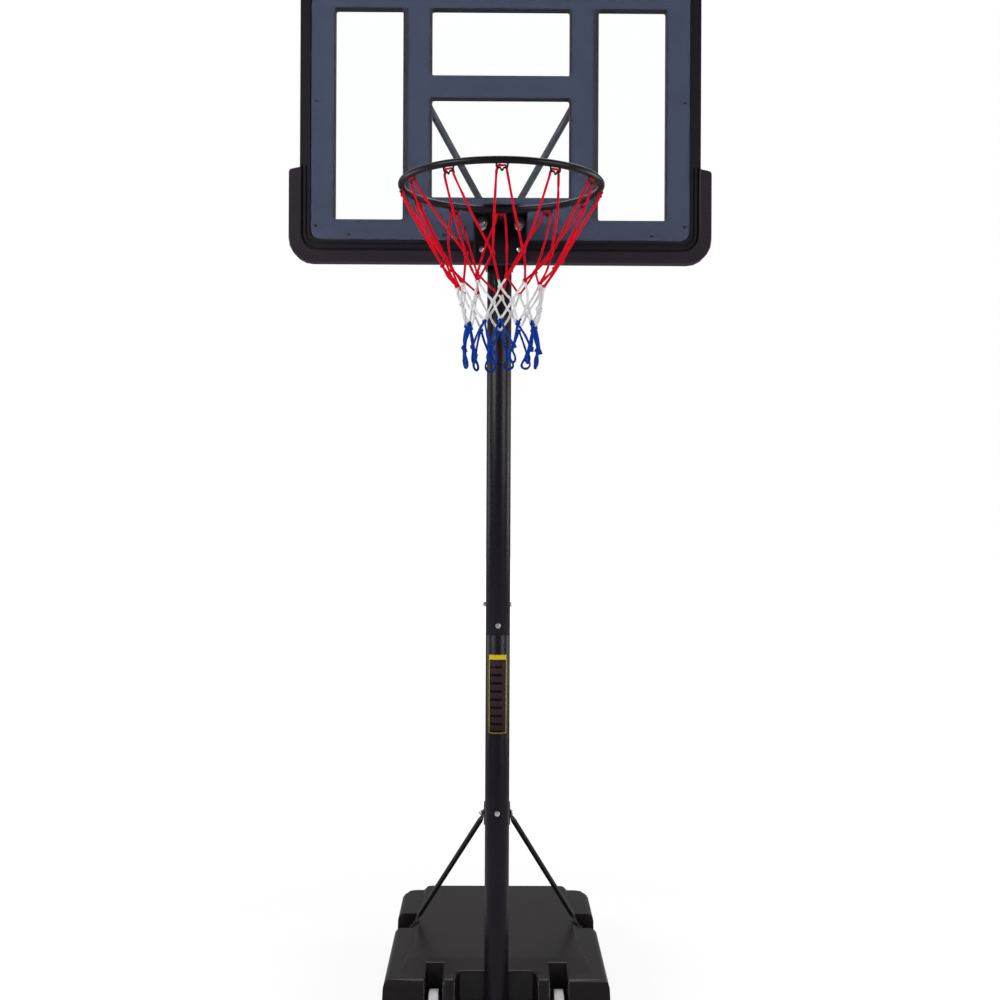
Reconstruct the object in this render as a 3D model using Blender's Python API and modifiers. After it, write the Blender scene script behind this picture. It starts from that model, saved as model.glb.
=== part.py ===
"""Portable basketball stand: ballast tank on wheels, telescoping pole, framed board, sprung rim and net.

Metres, +Z up. The rim faces -Y, +X is to the right of someone facing the board, and the origin lies
on the floor under the middle of the stand. Every piece that moves has its origin, or its parent
empty, on the axis it moves about.
"""

import math

import bmesh
import bpy
from mathutils import Matrix, Vector

# Clearances
SEAT_GAP = 0.0003
BOLT_CLEARANCE = 0.0005
PART_CLEARANCE = 0.003
SIDES = (("left", -1), ("right", 1))

# Pole
POLE_R = 0.035
POLE_WALL = 0.0018
POLE_FOOT_Z = 0.016
SEAM_Z = 1.1785
POLE_ABOVE_RING = 0.110
INNER_POLE_R = 0.030
INNER_POLE_WALL = 0.0015
INNER_POLE_BOTTOM_Z = 0.80
INNER_POLE_TOP_Z = 2.20
SLEEVE_LIP = 0.002
SLEEVE_PROUD = 0.0004
SLEEVE_LENGTH = 0.07
PLUG_LENGTH = 0.03
PLUG_HEAD = 0.012

# Height setting
HEIGHT_STEP = 0.15
HEIGHT_STEPS = 5
HEIGHT_BOLT_Z = 1.263
CLAMP_SCREW_Z = 1.204

# Fasteners: shank radius of the M8 and M10 sizes
M8_R = 0.004
M10_R = 0.005
HEAD_RATIO = 1.9
HEAD_HEIGHT_RATIO = 1.15
NUT_RATIO = 1.85
NUT_HEIGHT_RATIO = 1.6
THREAD_END = 0.004

# Ballast tank, lengths measured back from the pole's axis
TANK_WIDTH = 0.659
TANK_FRONT = 0.110
TANK_BACK = 0.860
TANK_SHOULDER_Z = 0.188
TANK_CORNER_R = 0.045
TANK_TOP_R = 0.024
TANK_DRAFT = 0.005
TANK_BACK_SLOPE = 0.035
TANK_BACK_WAIST_Z = 0.040
TANK_KERB = 0.006
TANK_TOE_Z = 0.022
TANK_INSTEP = 0.024
TANK_INSTEP_Z = 0.085
TANK_FACE_FOOT = 0.045
TANK_FACE_FOOT_Z = 0.108
TANK_BROW = 0.016
TANK_MOUTH_R = 0.007
TANK_LEAST_EDGE = 0.0012
PLATEAU_Z = 0.202
PLATEAU_BACK_FROM_SIDE = 0.076
PLATEAU_FROM_SIDE = 0.0695
PLATEAU_FRONT_FROM_SIDE = 0.0395
PLATEAU_FRONT = 0.018
PLATEAU_BROW = 0.126
PLATEAU_FLARE_BACK = 0.270
PLATEAU_BACK = 0.828
PLATEAU_EDGE = 0.013
RECESS_HALF = 0.114
RECESS_BACK = 0.045
RECESS_FLARE = 0.010
RECESS_CORNER_R = 0.018
SLOT_BEHIND_WHEEL = 0.022
NOTCH_FRONT = 0.42
NOTCH_BACK = 0.56
NOTCH_FLOOR_Z = 0.140
NOTCH_MOUTH_R = 0.0025
GROOVE_DEPTH = 0.012
GROOVE_WIDTH = 0.030
GROOVE_MARGIN = 0.030
GROOVES_BACK = (0.22, 0.40, 0.58, 0.74)
FILLER_BACK = 0.62
FILLER_R = 0.024
FILLER_DEPTH = 0.045
FILLER_CAP_R = 0.033
FILLER_CAP_HEIGHT = 0.014
FILLER_PLAY = 0.0012

# Wheels
WHEEL_R = 0.070
WHEEL_WIDTH = 0.028
WHEEL_X = 0.180
WHEEL_HUB_LENGTH = 0.043
WHEEL_HUB_WALL = 0.010
WHEEL_WEB = 0.004
WHEEL_RIM = 0.82
WHEEL_EDGE = 0.004
WHEEL_SLOT_WIDTH = 0.049
AXLE_R = 0.006
AXLE_Z = 0.080
AXLE_RUNNING = 0.0004
AXLE_END_INTO_TANK = 0.024

# Struts
STRUT_R = 0.008
STRUT_TAB_WIDTH = 0.022
STRUT_TAB_THICKNESS = 0.004
STRUT_TOP_TAB = 0.016
STRUT_FOOT_TAB = 0.068
BRACKET_PLATE = 0.003
BRACKET_HEIGHT = 0.060
BRACKET_REACH = 0.075
BRACKET_BOLT_Z = 0.668
STRUT_BOLT_Z = 0.648
STRUT_BOLT_BACK = 0.060
STRUT_FOOT_FROM_SIDE = 0.0545
STRUT_FOOT_BACK = 0.490
STRUT_FOOT_Z = 0.166

# Board: its frame, and the sheet and the windows by their distance from the frame's edges
BOARD_SETBACK = 0.310
FRAME_HALF = 0.528
FRAME_HEIGHT = 0.745
FRAME_BELOW_RING = 0.100
FRAME_DEPTH = 0.036
FRAME_CORNER_R = 0.046
FRAME_FACE_WALL = 0.003
FRAME_WALL = 0.004
FRAME_RIB = 0.003
SHEET_FROM_SIDE = 0.0295
SHEET_FROM_BOTTOM = 0.0530
SHEET_FROM_TOP = 0.0340
SHEET_THICKNESS = 0.003
SHEET_CORNER_R = 0.024
FILM_THICKNESS = 0.0008
WINDOWS_FROM_TOP = 0.0810
CENTRE_WINDOW_HALF = 0.182
CENTRE_STILE = 0.0757
SIDE_STILE = 0.091
SIDE_WINDOW_FROM_BOTTOM = 0.106
LOWER_WINDOW_FROM_BOTTOM = 0.165
LOWER_WINDOW_HEIGHT = 0.2635
CENTRE_RAIL = 0.0581
WINDOW_CORNER_R = 0.005
PRINT_CORNER_R = 0.004
PRINT_STEP_CENTRE = 0.0055
PRINT_STEP_IN = 0.0144
PRINT_STEP_OUT = 0.003
HARDPOINT_HALF = 0.092

# Beads on the frame's face between the sheet and the bumper
BEAD = 0.0065
OUTER_BEAD = 0.0060
LIP_GROOVE = 0.0055
GROOVE_IN_FACE = 0.004
GROOVE_ABOVE_BUMPER = 0.004

# Bumper round the board's lower edge, by its distance from the frame's edges
BUMPER_OUT = 0.0285
BUMPER_UNDER = 0.007
BUMPER_OVER_SIDE = 0.004
BUMPER_OVER_BOTTOM = 0.023
BUMPER_HEIGHT = 0.2425
BUMPER_TOP_DROP = 0.007
BUMPER_TOP_R = 0.010
BUMPER_WALL = 0.004
BUMPER_EDGE = 0.005
BUMPER_LIP_PROUD = 0.006
BUMPER_CORNER_R = 0.061
BUMPER_LIP_R = 0.048
NOTCH_PLAY = 0.0015

# Arms and V bars between pole and board
ARM_PLATE = 0.004
ARM_FROM_FRAME_BOTTOM = 0.005
ARM_BOARD_HEIGHT = 0.106
ARM_RISE = 0.0196
ARM_POLE_HEIGHT = 0.046
ARM_POLE_END = 0.024
ARM_FLANGE_OUT = 0.074
VBAR_R = 0.0095
VBAR_TAB_WIDTH = 0.025
VBAR_TAB = 0.018
VBAR_BELOW_POLE_TOP = 0.030
VBAR_BOARD_X = 0.216

# Rim
RIM_REACH = 0.375
RING_INNER_R = 0.225
RING_ROD_R = 0.008
RING_Z = 2.295
RIM_PLATE_HALF = 0.070
RIM_PLATE_BELOW_RING = 0.111
BACK_PLATE = 0.004
RIM_PLATE = 0.005
TOP_PLATE = 0.004
GUSSET = 0.003
WELD_OVERLAP = 0.001
SHELF_NOSE = 0.042
GUSSET_RUN = 0.045
RIM_BOLT_X = 0.050
RIM_UPPER_BELOW_RING = 0.011
RIM_LOWER_BELOW_RING = 0.0745
RIM_LOWER_PLAY = 0.0035
RIM_TILT_CLEARANCE = 0.0022
WASHER_R = 0.0155
WASHER_THICKNESS = 0.0025

# Rim springs
SPRING_LENGTH = 0.034
SPRING_R = 0.0135
SPRING_WIRE_R = 0.0018
SPRING_CURLS = 5
SPRING_POINTS = 9

# Net hooks under the ring
HOOKS = 12
HOOK_WIRE_R = 0.002
HOOK_HALF = 0.012
HOOK_SHOULDER = 0.009
HOOK_TIP = 0.0155

# Net: depth below the ring's centreline and radius of each row of knots
NET_TWINE = 0.0042
NET_TOP_DROP = 0.0120
NET_BEND = (0.095, 0.193)
NET_KNOTS = ((0.180, 0.140), (0.243, 0.103), (0.284, 0.091), (0.326, 0.083), (0.382, 0.090))
NET_LOOP_DROP = 0.424
NET_LOOP_R = 0.086
NET_LOOP_HALF = 0.018

# Places that follow from the sizes above
PLATEAU_BACK_HALF = TANK_WIDTH / 2 - PLATEAU_BACK_FROM_SIDE
PLATEAU_HALF = TANK_WIDTH / 2 - PLATEAU_FROM_SIDE
PLATEAU_FRONT_HALF = TANK_WIDTH / 2 - PLATEAU_FRONT_FROM_SIDE
STRUT_FOOT_X = TANK_WIDTH / 2 - STRUT_FOOT_FROM_SIDE
POLE_TOP_Z = RING_Z + POLE_ABOVE_RING
FRAME_BOTTOM_Z = RING_Z - FRAME_BELOW_RING
FRAME_TOP_Z = FRAME_BOTTOM_Z + FRAME_HEIGHT
SHEET_HALF = FRAME_HALF - SHEET_FROM_SIDE
SHEET_BOTTOM_Z = FRAME_BOTTOM_Z + SHEET_FROM_BOTTOM
SHEET_TOP_Z = FRAME_TOP_Z - SHEET_FROM_TOP
WINDOW_TOP_Z = FRAME_TOP_Z - WINDOWS_FROM_TOP
SIDE_WINDOW_IN = CENTRE_WINDOW_HALF + CENTRE_STILE
SIDE_WINDOW_OUT = FRAME_HALF - SIDE_STILE
SIDE_WINDOW_BOTTOM_Z = FRAME_BOTTOM_Z + SIDE_WINDOW_FROM_BOTTOM
LOWER_WINDOW_BOTTOM_Z = FRAME_BOTTOM_Z + LOWER_WINDOW_FROM_BOTTOM
LOWER_WINDOW_TOP_Z = LOWER_WINDOW_BOTTOM_Z + LOWER_WINDOW_HEIGHT
UPPER_WINDOW_BOTTOM_Z = LOWER_WINDOW_TOP_Z + CENTRE_RAIL
BUMPER_HALF = FRAME_HALF + BUMPER_OUT
BUMPER_BOTTOM_Z = FRAME_BOTTOM_Z - BUMPER_UNDER
BUMPER_LEG_IN = FRAME_HALF - BUMPER_OVER_SIDE
BUMPER_LIP_Z = FRAME_BOTTOM_Z + BUMPER_OVER_BOTTOM
BUMPER_TOP_Z = FRAME_BOTTOM_Z + BUMPER_HEIGHT
ARM_BOARD_BOTTOM_Z = FRAME_BOTTOM_Z + ARM_FROM_FRAME_BOTTOM
ARM_BOARD_TOP_Z = ARM_BOARD_BOTTOM_Z + ARM_BOARD_HEIGHT
ARM_POLE_BOTTOM_Z = ARM_BOARD_BOTTOM_Z + ARM_RISE
VBAR_POLE_Z = POLE_TOP_Z - VBAR_BELOW_POLE_TOP
VBAR_BOARD_Z = LOWER_WINDOW_TOP_Z + CENTRE_RAIL / 2
RIM_PLATE_BOTTOM_Z = RING_Z - RIM_PLATE_BELOW_RING
RIM_UPPER_Z = RING_Z - RIM_UPPER_BELOW_RING
RIM_LOWER_Z = RING_Z - RIM_LOWER_BELOW_RING
RING_R = RING_INNER_R + RING_ROD_R
FRONT_REACH = BOARD_SETBACK + RIM_REACH + RING_R + RING_ROD_R
POLE_Y = (FRONT_REACH - TANK_BACK) / 2
FACE_Y = POLE_Y - BOARD_SETBACK
RING_Y = FACE_Y - RIM_REACH
FRAME_BACK_Y = FACE_Y + FRAME_DEPTH
FILM_Y = FACE_Y + SHEET_THICKNESS + SEAT_GAP
RECESS_Y = FILM_Y + FILM_THICKNESS + SEAT_GAP
BACK_PLATE_Y = FACE_Y - SEAT_GAP - BACK_PLATE
RIM_PLATE_Y = BACK_PLATE_Y - SEAT_GAP - RIM_PLATE
HINGE_Y = RIM_PLATE_Y + RIM_PLATE
SPRING_SEAT_Y = RIM_PLATE_Y - SPRING_LENGTH
WASHER_Y = SPRING_SEAT_Y - WASHER_THICKNESS
FLANGE_Y = FRAME_BACK_Y + SEAT_GAP
TOP_PLATE_Z = RING_Z + RING_ROD_R + SEAT_GAP
POLE_BORE_R = POLE_R - POLE_WALL
SLEEVE_OUT_R = POLE_BORE_R - SEAT_GAP
SLEEVE_IN_R = INNER_POLE_R + SEAT_GAP
WING_X = POLE_R + SEAT_GAP
BRACKET_WEB_BACK = POLE_R + SEAT_GAP + BRACKET_PLATE
TAB_HALF = STRUT_TAB_THICKNESS / 2
STRUT_TOP_X = WING_X + BRACKET_PLATE + SEAT_GAP + TAB_HALF
STRUT_LEAN = math.atan2(STRUT_FOOT_X - STRUT_TOP_X, STRUT_BOLT_Z - STRUT_FOOT_Z)


def clear_scene():
    for obj in list(bpy.data.objects):
        bpy.data.objects.remove(obj, do_unlink=True)


def new_collection(name):
    made = bpy.data.collections.new(name)
    bpy.context.scene.collection.children.link(made)
    return made


def finish(name, colour, roughness, metallic=0.0, alpha=1.0):
    """A Principled material with one colour, roughness and metallic value."""
    made = bpy.data.materials.new(name)
    made.use_nodes = True
    shader = made.node_tree.nodes["Principled BSDF"]
    shader.inputs["Base Color"].default_value = (*colour, 1.0)
    shader.inputs["Roughness"].default_value = roughness
    shader.inputs["Metallic"].default_value = metallic
    shader.inputs["Alpha"].default_value = alpha
    made.diffuse_color = (*colour, alpha)
    return made


def place(obj, look):
    """Put an object with the parts if it has a material, and with the cutters if it has none."""
    if look is None:
        CUTTERS.objects.link(obj)
        obj.hide_render = True
        obj.display_type = "WIRE"
    else:
        PARTS.objects.link(obj)
        obj.data.materials.append(look)
    return obj


def from_bmesh(name, shape, look, matrix=None):
    mesh = bpy.data.meshes.new(name)
    shape.to_mesh(mesh)
    shape.free()
    obj = bpy.data.objects.new(name, mesh)
    if matrix is not None:
        obj.matrix_world = matrix
    return place(obj, look)


def boxes(name, spans):
    """One cutter made of separate blocks, each between two corners."""
    shape = bmesh.new()
    for low, high in spans:
        low = Vector(low)
        high = Vector(high)
        made = bmesh.ops.create_cube(shape, size=1.0)["verts"]
        bmesh.ops.scale(shape, vec=high - low, verts=made)
        bmesh.ops.translate(shape, vec=(low + high) / 2, verts=made)
    return from_bmesh(name, shape, None)


def along(axis, centre):
    """A matrix that turns local +Z to an axis and moves to a centre."""
    turn = Vector((0, 0, 1)).rotation_difference(Vector(axis)).to_matrix().to_4x4()
    return Matrix.Translation(centre) @ turn


def turned(name, profile, axis, centre, look=None, steps=24, ring=False):
    """Revolve (radius, height) points that run down the outer side; a ring closes on itself."""
    mesh = bpy.data.meshes.new(name)
    count = len(profile)
    edges = [(i, i + 1) for i in range(count - 1)]
    if ring:
        edges.append((count - 1, 0))
    mesh.from_pydata([(radius, 0, height) for radius, height in profile], edges, [])
    obj = place(bpy.data.objects.new(name, mesh), look)
    obj.matrix_world = along(axis, centre)
    screw = obj.modifiers.new("turn", "SCREW")
    screw.steps = screw.render_steps = steps
    screw.use_merge_vertices = True
    screw.merge_threshold = 0.00001
    screw.use_smooth_shade = False
    return obj


def rod(name, radius, low, high, axis, centre, look=None, steps=12):
    profile = ((0, high), (radius, high), (radius, low), (0, low))
    return turned(name, profile, axis, centre, look, steps)


def pipe(name, outer, inner, low, high, axis, centre, look, steps=28):
    profile = ((outer, high), (outer, low), (inner, low), (inner, high))
    return turned(name, profile, axis, centre, look, steps, ring=True)


def as_mesh(curve_object, name, look):
    """The curve as a mesh object with its caps welded; the curve is removed."""
    place(curve_object, None)
    bpy.context.view_layer.update()
    graph = bpy.context.evaluated_depsgraph_get()
    mesh = bpy.data.meshes.new_from_object(curve_object.evaluated_get(graph))
    shape = bmesh.new()
    shape.from_mesh(mesh)
    bmesh.ops.remove_doubles(shape, verts=shape.verts, dist=0.00001)
    shape.to_mesh(mesh)
    shape.free()
    mesh.materials.clear()
    obj = bpy.data.objects.new(name, mesh)
    obj.matrix_world = curve_object.matrix_world.copy()
    bpy.data.objects.remove(curve_object, do_unlink=True)
    obj.name = name
    return place(obj, look)


def cut_from_sheet(name, loops, depth, frame, look=None):
    """Extrude an outline with its holes; frame maps the outline's plane, and +Z of it the depth."""
    data = bpy.data.curves.new(name, "CURVE")
    data.dimensions = "2D"
    data.fill_mode = "BOTH"
    data.extrude = depth / 2
    for loop in loops:
        spline = data.splines.new("POLY")
        spline.points.add(len(loop) - 1)
        for point, (x, y) in zip(spline.points, loop):
            point.co = (x, y, 0, 1)
        spline.use_cyclic_u = True
    curve = bpy.data.objects.new(name, data)
    curve.matrix_world = frame @ Matrix.Translation((0, 0, depth / 2))
    return as_mesh(curve, name, look)


def front_plane(y, depth):
    """Outline in X and Z, solid from y back to y + depth."""
    columns = ((1, 0, 0), (0, 0, 1), (0, -1, 0))
    return Matrix.Translation((0, y + depth, 0)) @ Matrix(columns).transposed().to_4x4()


def side_plane(x):
    """Outline in Y and Z, solid from x towards +X."""
    columns = ((0, 1, 0), (0, 0, 1), (1, 0, 0))
    return Matrix.Translation((x, 0, 0)) @ Matrix(columns).transposed().to_4x4()


def floor_plane(z):
    """Outline in X and Y, solid from z upwards."""
    return Matrix.Translation((0, 0, z))


def rounded(corners, steps=3):
    """Points through (x, y, radius) corners, each rounded by an arc of its own radius."""
    points = []
    for i, (x, y, radius) in enumerate(corners):
        here = Vector((x, y))
        if radius == 0:
            points.append(here)
            continue
        to_last = (Vector(corners[i - 1][:2]) - here).normalized()
        to_next = (Vector(corners[(i + 1) % len(corners)][:2]) - here).normalized()
        half = to_last.angle(to_next) / 2
        centre = here + (to_last + to_next).normalized() * radius / math.sin(half)
        start = here + to_last * radius / math.tan(half) - centre
        sweep = start.angle_signed(here + to_next * radius / math.tan(half) - centre)
        first = math.atan2(start.y, start.x)
        for k in range(steps + 1):
            angle = first - sweep * k / steps
            points.append(centre + Vector((math.cos(angle), math.sin(angle))) * radius)
    return points


def rounded_box(left, right, bottom, top, radius, steps=3):
    corners = ((left, bottom), (right, bottom), (right, top), (left, top))
    return rounded([(x, y, radius) for x, y in corners], steps)


def circle(x, y, radius, count=10):
    """A polygon round a circle, so that the circle passes through it."""
    reach = radius / math.cos(math.pi / count)
    turns = (2 * math.pi * (k + 0.5) / count for k in range(count))
    return [(x + reach * math.cos(a), y + reach * math.sin(a)) for a in turns]


def boolean(target, tool, operation):
    modifier = target.modifiers.new(f"{operation.lower()} {tool.name}", "BOOLEAN")
    modifier.operation = operation
    modifier.object = tool
    modifier.solver = "EXACT"


def cut(target, *tools):
    for tool in tools:
        boolean(target, tool, "DIFFERENCE")


def join(target, *tools):
    for tool in tools:
        boolean(target, tool, "UNION")


def bevel(obj, width, segments=1, angle=30):
    modifier = obj.modifiers.new("edges", "BEVEL")
    modifier.width = width
    modifier.segments = segments
    modifier.limit_method = "ANGLE"
    modifier.angle_limit = math.radians(angle)
    modifier.use_clamp_overlap = True


def bolt(name, shank, length, axis, centre, look, steps=9):
    """A domed bolt: the head's seat is at the centre, the head points along the axis."""
    head = shank * HEAD_RATIO
    height = shank * HEAD_HEIGHT_RATIO
    profile = (
        (0, height),
        (head * 0.6, height * 0.92),
        (head, height * 0.35),
        (head, 0),
        (shank, 0),
        (shank, -length),
        (0, -length),
    )
    return turned(name, profile, axis, centre, look, steps)


def nut(name, shank, axis, centre, look):
    """A hexagonal nut that stands on the centre, over a shank of the given radius."""
    width = shank * NUT_RATIO
    bore = (shank + SEAT_GAP) / math.cos(math.pi / 6)
    height = shank * NUT_HEIGHT_RATIO
    edge = height * 0.15
    profile = (
        (width * 0.9, height),
        (width, height - edge),
        (width, 0),
        (bore, 0),
        (bore, height),
    )
    return turned(name, profile, axis, centre, look, 6, ring=True)


def ellipse(centre, wide, thin, count=12):
    """Points of an ellipse from its two half axes, given as vectors."""
    turns = (2 * math.pi * k / count for k in range(count))
    return [centre + wide * math.cos(a) + thin * math.sin(a) for a in turns]


def lofted(name, sections, look):
    """Join unlike sections of one count of points into a tube with flat ends."""
    lined_up = [sections[0]]
    for section in sections[1:]:
        last = lined_up[-1]
        drift = (sum(section, Vector()) - sum(last, Vector())) / len(section)
        rolls = [section[k:] + section[:k] for k in range(len(section))]
        rolls += [roll[::-1] for roll in rolls]
        lined_up.append(
            min(rolls, key=lambda roll: sum((a + drift - b).length for a, b in zip(last, roll)))
        )
    shape = bmesh.new()
    loops = [[shape.verts.new(point) for point in section] for section in lined_up]
    for below, above in zip(loops, loops[1:]):
        for k in range(len(below)):
            j = (k + 1) % len(below)
            shape.faces.new((below[k], below[j], above[j], above[k]))
    shape.faces.new(loops[0][::-1])
    shape.faces.new(loops[-1])
    bmesh.ops.recalc_face_normals(shape, faces=shape.faces)
    return from_bmesh(name, shape, look)


def flattened_tube(name, ends, radius, width, look):
    """A tube with ends pressed flat: each end is (bolt point, face normal, flat length)."""
    sections = []
    for (point, normal, length), (other, _, _) in (ends, ends[::-1]):
        run = other - point
        flat = (run - normal * run.dot(normal)).normalized()
        wide = normal.cross(flat) * width / 2
        thin = normal * TAB_HALF
        neck = point + flat * length
        towards = (other - neck).normalized()
        upright = (normal - towards * normal.dot(towards)).normalized()
        across = upright.cross(towards).normalized()
        end = [
            ellipse(point - flat * width * 0.55, wide * 0.6, thin),
            ellipse(point - flat * width * 0.4, wide, thin),
            ellipse(neck, wide, thin),
            ellipse(neck + towards * radius * 3, across * radius, upright * radius),
        ]
        sections += end[::-1] if sections else end
    return lofted(name, sections, look)


def bolt_hole(name, shank, low, high, axis, centre):
    """A cutter for a bolt's hole, with clearance round the shank."""
    radius = (shank + BOLT_CLEARANCE) / math.cos(math.pi / 8)
    return rod(name, radius, low, high, axis, centre, steps=8)


def rounded_edges(obj, width, least, chosen):
    """Apply the modifiers, drop edges shorter than the least, and round those that a test picks."""
    bpy.context.view_layer.update()
    graph = bpy.context.evaluated_depsgraph_get()
    mesh = bpy.data.meshes.new_from_object(obj.evaluated_get(graph))
    shape = bmesh.new()
    shape.from_mesh(mesh)
    shape.transform(obj.matrix_world)
    bmesh.ops.dissolve_limit(shape, angle_limit=math.radians(0.5), verts=shape.verts, edges=shape.edges)
    bmesh.ops.remove_doubles(shape, verts=shape.verts, dist=least)
    edges = [edge for edge in shape.edges if chosen(edge)]
    bmesh.ops.bevel(shape, geom=edges, offset=width, offset_type="OFFSET", segments=2, profile=0.5,
                    affect="EDGES", material=-1)
    bmesh.ops.remove_doubles(shape, verts=shape.verts, dist=0.00001)
    bmesh.ops.triangulate(shape, faces=shape.faces)
    shape.transform(obj.matrix_world.inverted())
    shape.to_mesh(mesh)
    shape.free()
    obj.modifiers.clear()
    obj.data = mesh


def tank_body():
    """The tank's side profile, kept inside its rounded plan and its rounded front view."""
    half = TANK_WIDTH / 2
    front = POLE_Y - TANK_FRONT
    back = POLE_Y + TANK_BACK
    profile = [
        (front + TANK_KERB, 0, 0),
        (front, TANK_TOE_Z, 0),
        (front + TANK_INSTEP, TANK_INSTEP_Z, 0.03),
        (POLE_Y - TANK_FACE_FOOT, TANK_FACE_FOOT_Z, 0.03),
        (POLE_Y - TANK_BROW, TANK_SHOULDER_Z, 0.02),
        (back - TANK_BACK_SLOPE, TANK_SHOULDER_Z, 0.02),
        (back, TANK_BACK_WAIST_Z, 0),
        (back - TANK_KERB, 0, 0),
    ]
    tank = cut_from_sheet("base_tank", [rounded(profile)], TANK_WIDTH, side_plane(-half), BLOWN_PLASTIC)
    below = -0.01
    plan = rounded_box(-half, half, front, back, TANK_CORNER_R, 4)
    outline = cut_from_sheet("tank_plan", [plan], PLATEAU_Z, floor_plane(below))
    top = half - TANK_DRAFT
    section = [
        (-half, below, 0),
        (half, below, 0),
        (top, TANK_SHOULDER_Z + SEAT_GAP, TANK_TOP_R),
        (-top, TANK_SHOULDER_Z + SEAT_GAP, TANK_TOP_R),
    ]
    depth = TANK_BACK + TANK_FRONT + 0.1
    plane = front_plane(front - 0.05, depth)
    front_view = cut_from_sheet("tank_section", [rounded(section, 4)], depth, plane)
    boolean(tank, outline, "INTERSECT")
    boolean(tank, front_view, "INTERSECT")
    return tank


def tank_plateau():
    """The raised deck: it flares towards the front, where it slopes down to the shoulder."""
    front = POLE_Y + PLATEAU_FRONT
    back = POLE_Y + PLATEAU_BACK
    bottom = TANK_SHOULDER_Z / 2
    profile = [
        (front - 0.02, bottom),
        (front - 0.02, TANK_SHOULDER_Z - 0.004),
        (POLE_Y + PLATEAU_BROW, PLATEAU_Z),
        (back + 0.02, PLATEAU_Z),
        (back + 0.02, bottom),
    ]
    wide = 2 * PLATEAU_FRONT_HALF + 0.02
    plateau = cut_from_sheet("tank_plateau", [profile], wide, side_plane(-wide / 2))
    flare = POLE_Y + PLATEAU_FLARE_BACK
    deck = [
        (-PLATEAU_FRONT_HALF, front, 0.02),
        (PLATEAU_FRONT_HALF, front, 0.02),
        (PLATEAU_HALF, flare, 0.6),
        (PLATEAU_BACK_HALF, back, 0.03),
        (-PLATEAU_BACK_HALF, back, 0.03),
        (-PLATEAU_HALF, flare, 0.6),
    ]
    plan = cut_from_sheet("plateau_plan", [rounded(deck)], PLATEAU_Z, floor_plane(bottom - 0.01))
    boolean(plateau, plan, "INTERSECT")
    bevel(plateau, PLATEAU_EDGE, 1, 60)
    return plateau


def notch_wall(height):
    """How far out the notch's inner wall is at a height: it lies behind the strut's flat foot."""
    behind = (TAB_HALF + SEAT_GAP) / math.cos(STRUT_LEAN)
    return STRUT_FOOT_X + (STRUT_FOOT_Z - height) * math.tan(STRUT_LEAN) - behind


def strut_foot(side):
    """The bolt point of a strut's foot, and the normal of its flat."""
    foot = Vector((side * STRUT_FOOT_X, POLE_Y + STRUT_FOOT_BACK, STRUT_FOOT_Z))
    return foot, Vector((side * math.cos(STRUT_LEAN), 0, math.sin(STRUT_LEAN)))


def tank_openings():
    """Cutters for the pole's recess, the wheel slots and the strut notches."""
    top = PLATEAU_Z + 0.05
    ahead = POLE_Y - TANK_FRONT - 0.05
    mouth = RECESS_HALF + RECESS_FLARE
    recess = [
        (-mouth, ahead, 0),
        (mouth, ahead, 0),
        (RECESS_HALF, POLE_Y + RECESS_BACK, RECESS_CORNER_R),
        (-RECESS_HALF, POLE_Y + RECESS_BACK, RECESS_CORNER_R),
    ]
    tools = [cut_from_sheet("front_recess", [rounded(recess)], top + 0.05, floor_plane(-0.05))]
    slot = WHEEL_SLOT_WIDTH / 2
    slot_back = POLE_Y + WHEEL_R + SLOT_BEHIND_WHEEL
    notch_out = TANK_WIDTH / 2 + 0.05
    spans = []
    for side_name, side in SIDES:
        xs = sorted((side * (WHEEL_X - slot), side * (WHEEL_X + slot)))
        spans.append(((xs[0], ahead, -0.05), (xs[1], slot_back, top)))
        notch = [
            (side * notch_wall(NOTCH_FLOOR_Z), NOTCH_FLOOR_Z),
            (side * notch_wall(top), top),
            (side * notch_out, top),
            (side * notch_out, NOTCH_FLOOR_Z),
        ]
        plane = front_plane(POLE_Y + NOTCH_FRONT, NOTCH_BACK - NOTCH_FRONT)
        tools.append(cut_from_sheet(f"strut_notch_{side_name}", [notch], NOTCH_BACK - NOTCH_FRONT, plane))
    tools.append(boxes("wheel_slots", spans))
    return tools


def tank_bores():
    """Cutters for the axle's groove, the underside's grooves, the filler neck and the foot bolts."""
    groove = AXLE_R + BOLT_CLEARANCE
    reach = WHEEL_X + WHEEL_SLOT_WIDTH / 2 + AXLE_END_INTO_TANK + PART_CLEARANCE
    low = (-reach, POLE_Y - groove, -0.05)
    tools = [boxes("axle_groove", [(low, (reach, POLE_Y + groove, AXLE_Z + groove))])]
    side = PLATEAU_HALF - GROOVE_MARGIN
    spans = []
    for back in GROOVES_BACK:
        middle = POLE_Y + back
        low = (-side, middle - GROOVE_WIDTH / 2, -0.05)
        spans.append((low, (side, middle + GROOVE_WIDTH / 2, GROOVE_DEPTH)))
    tools.append(boxes("underside_grooves", spans))
    neck = (0, POLE_Y + FILLER_BACK, PLATEAU_Z)
    tools.append(rod("filler_neck", FILLER_R, -FILLER_DEPTH, 0.05, (0, 0, 1), neck, steps=24))
    for side_name, sign in SIDES:
        foot, normal = strut_foot(sign)
        tools.append(bolt_hole(f"foot_hole_{side_name}", M8_R, -0.032, 0.05, normal, foot))
    return tools


def at_an_opening(edge):
    """Whether an edge is an outer corner of the recess or of a wheel slot, above the toe."""
    inside = WHEEL_X + WHEEL_SLOT_WIDTH / 2 + TANK_LEAST_EDGE
    slot_back = POLE_Y + WHEEL_R + SLOT_BEHIND_WHEEL + TANK_LEAST_EDGE
    places = [vert.co for vert in edge.verts]
    above = min(place.z for place in places) > TANK_TOE_Z + TANK_LEAST_EDGE
    in_front = all(abs(place.x) < inside and place.y < slot_back for place in places)
    return above and in_front and edge.is_convex and edge.calc_face_angle() > math.radians(40)


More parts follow.
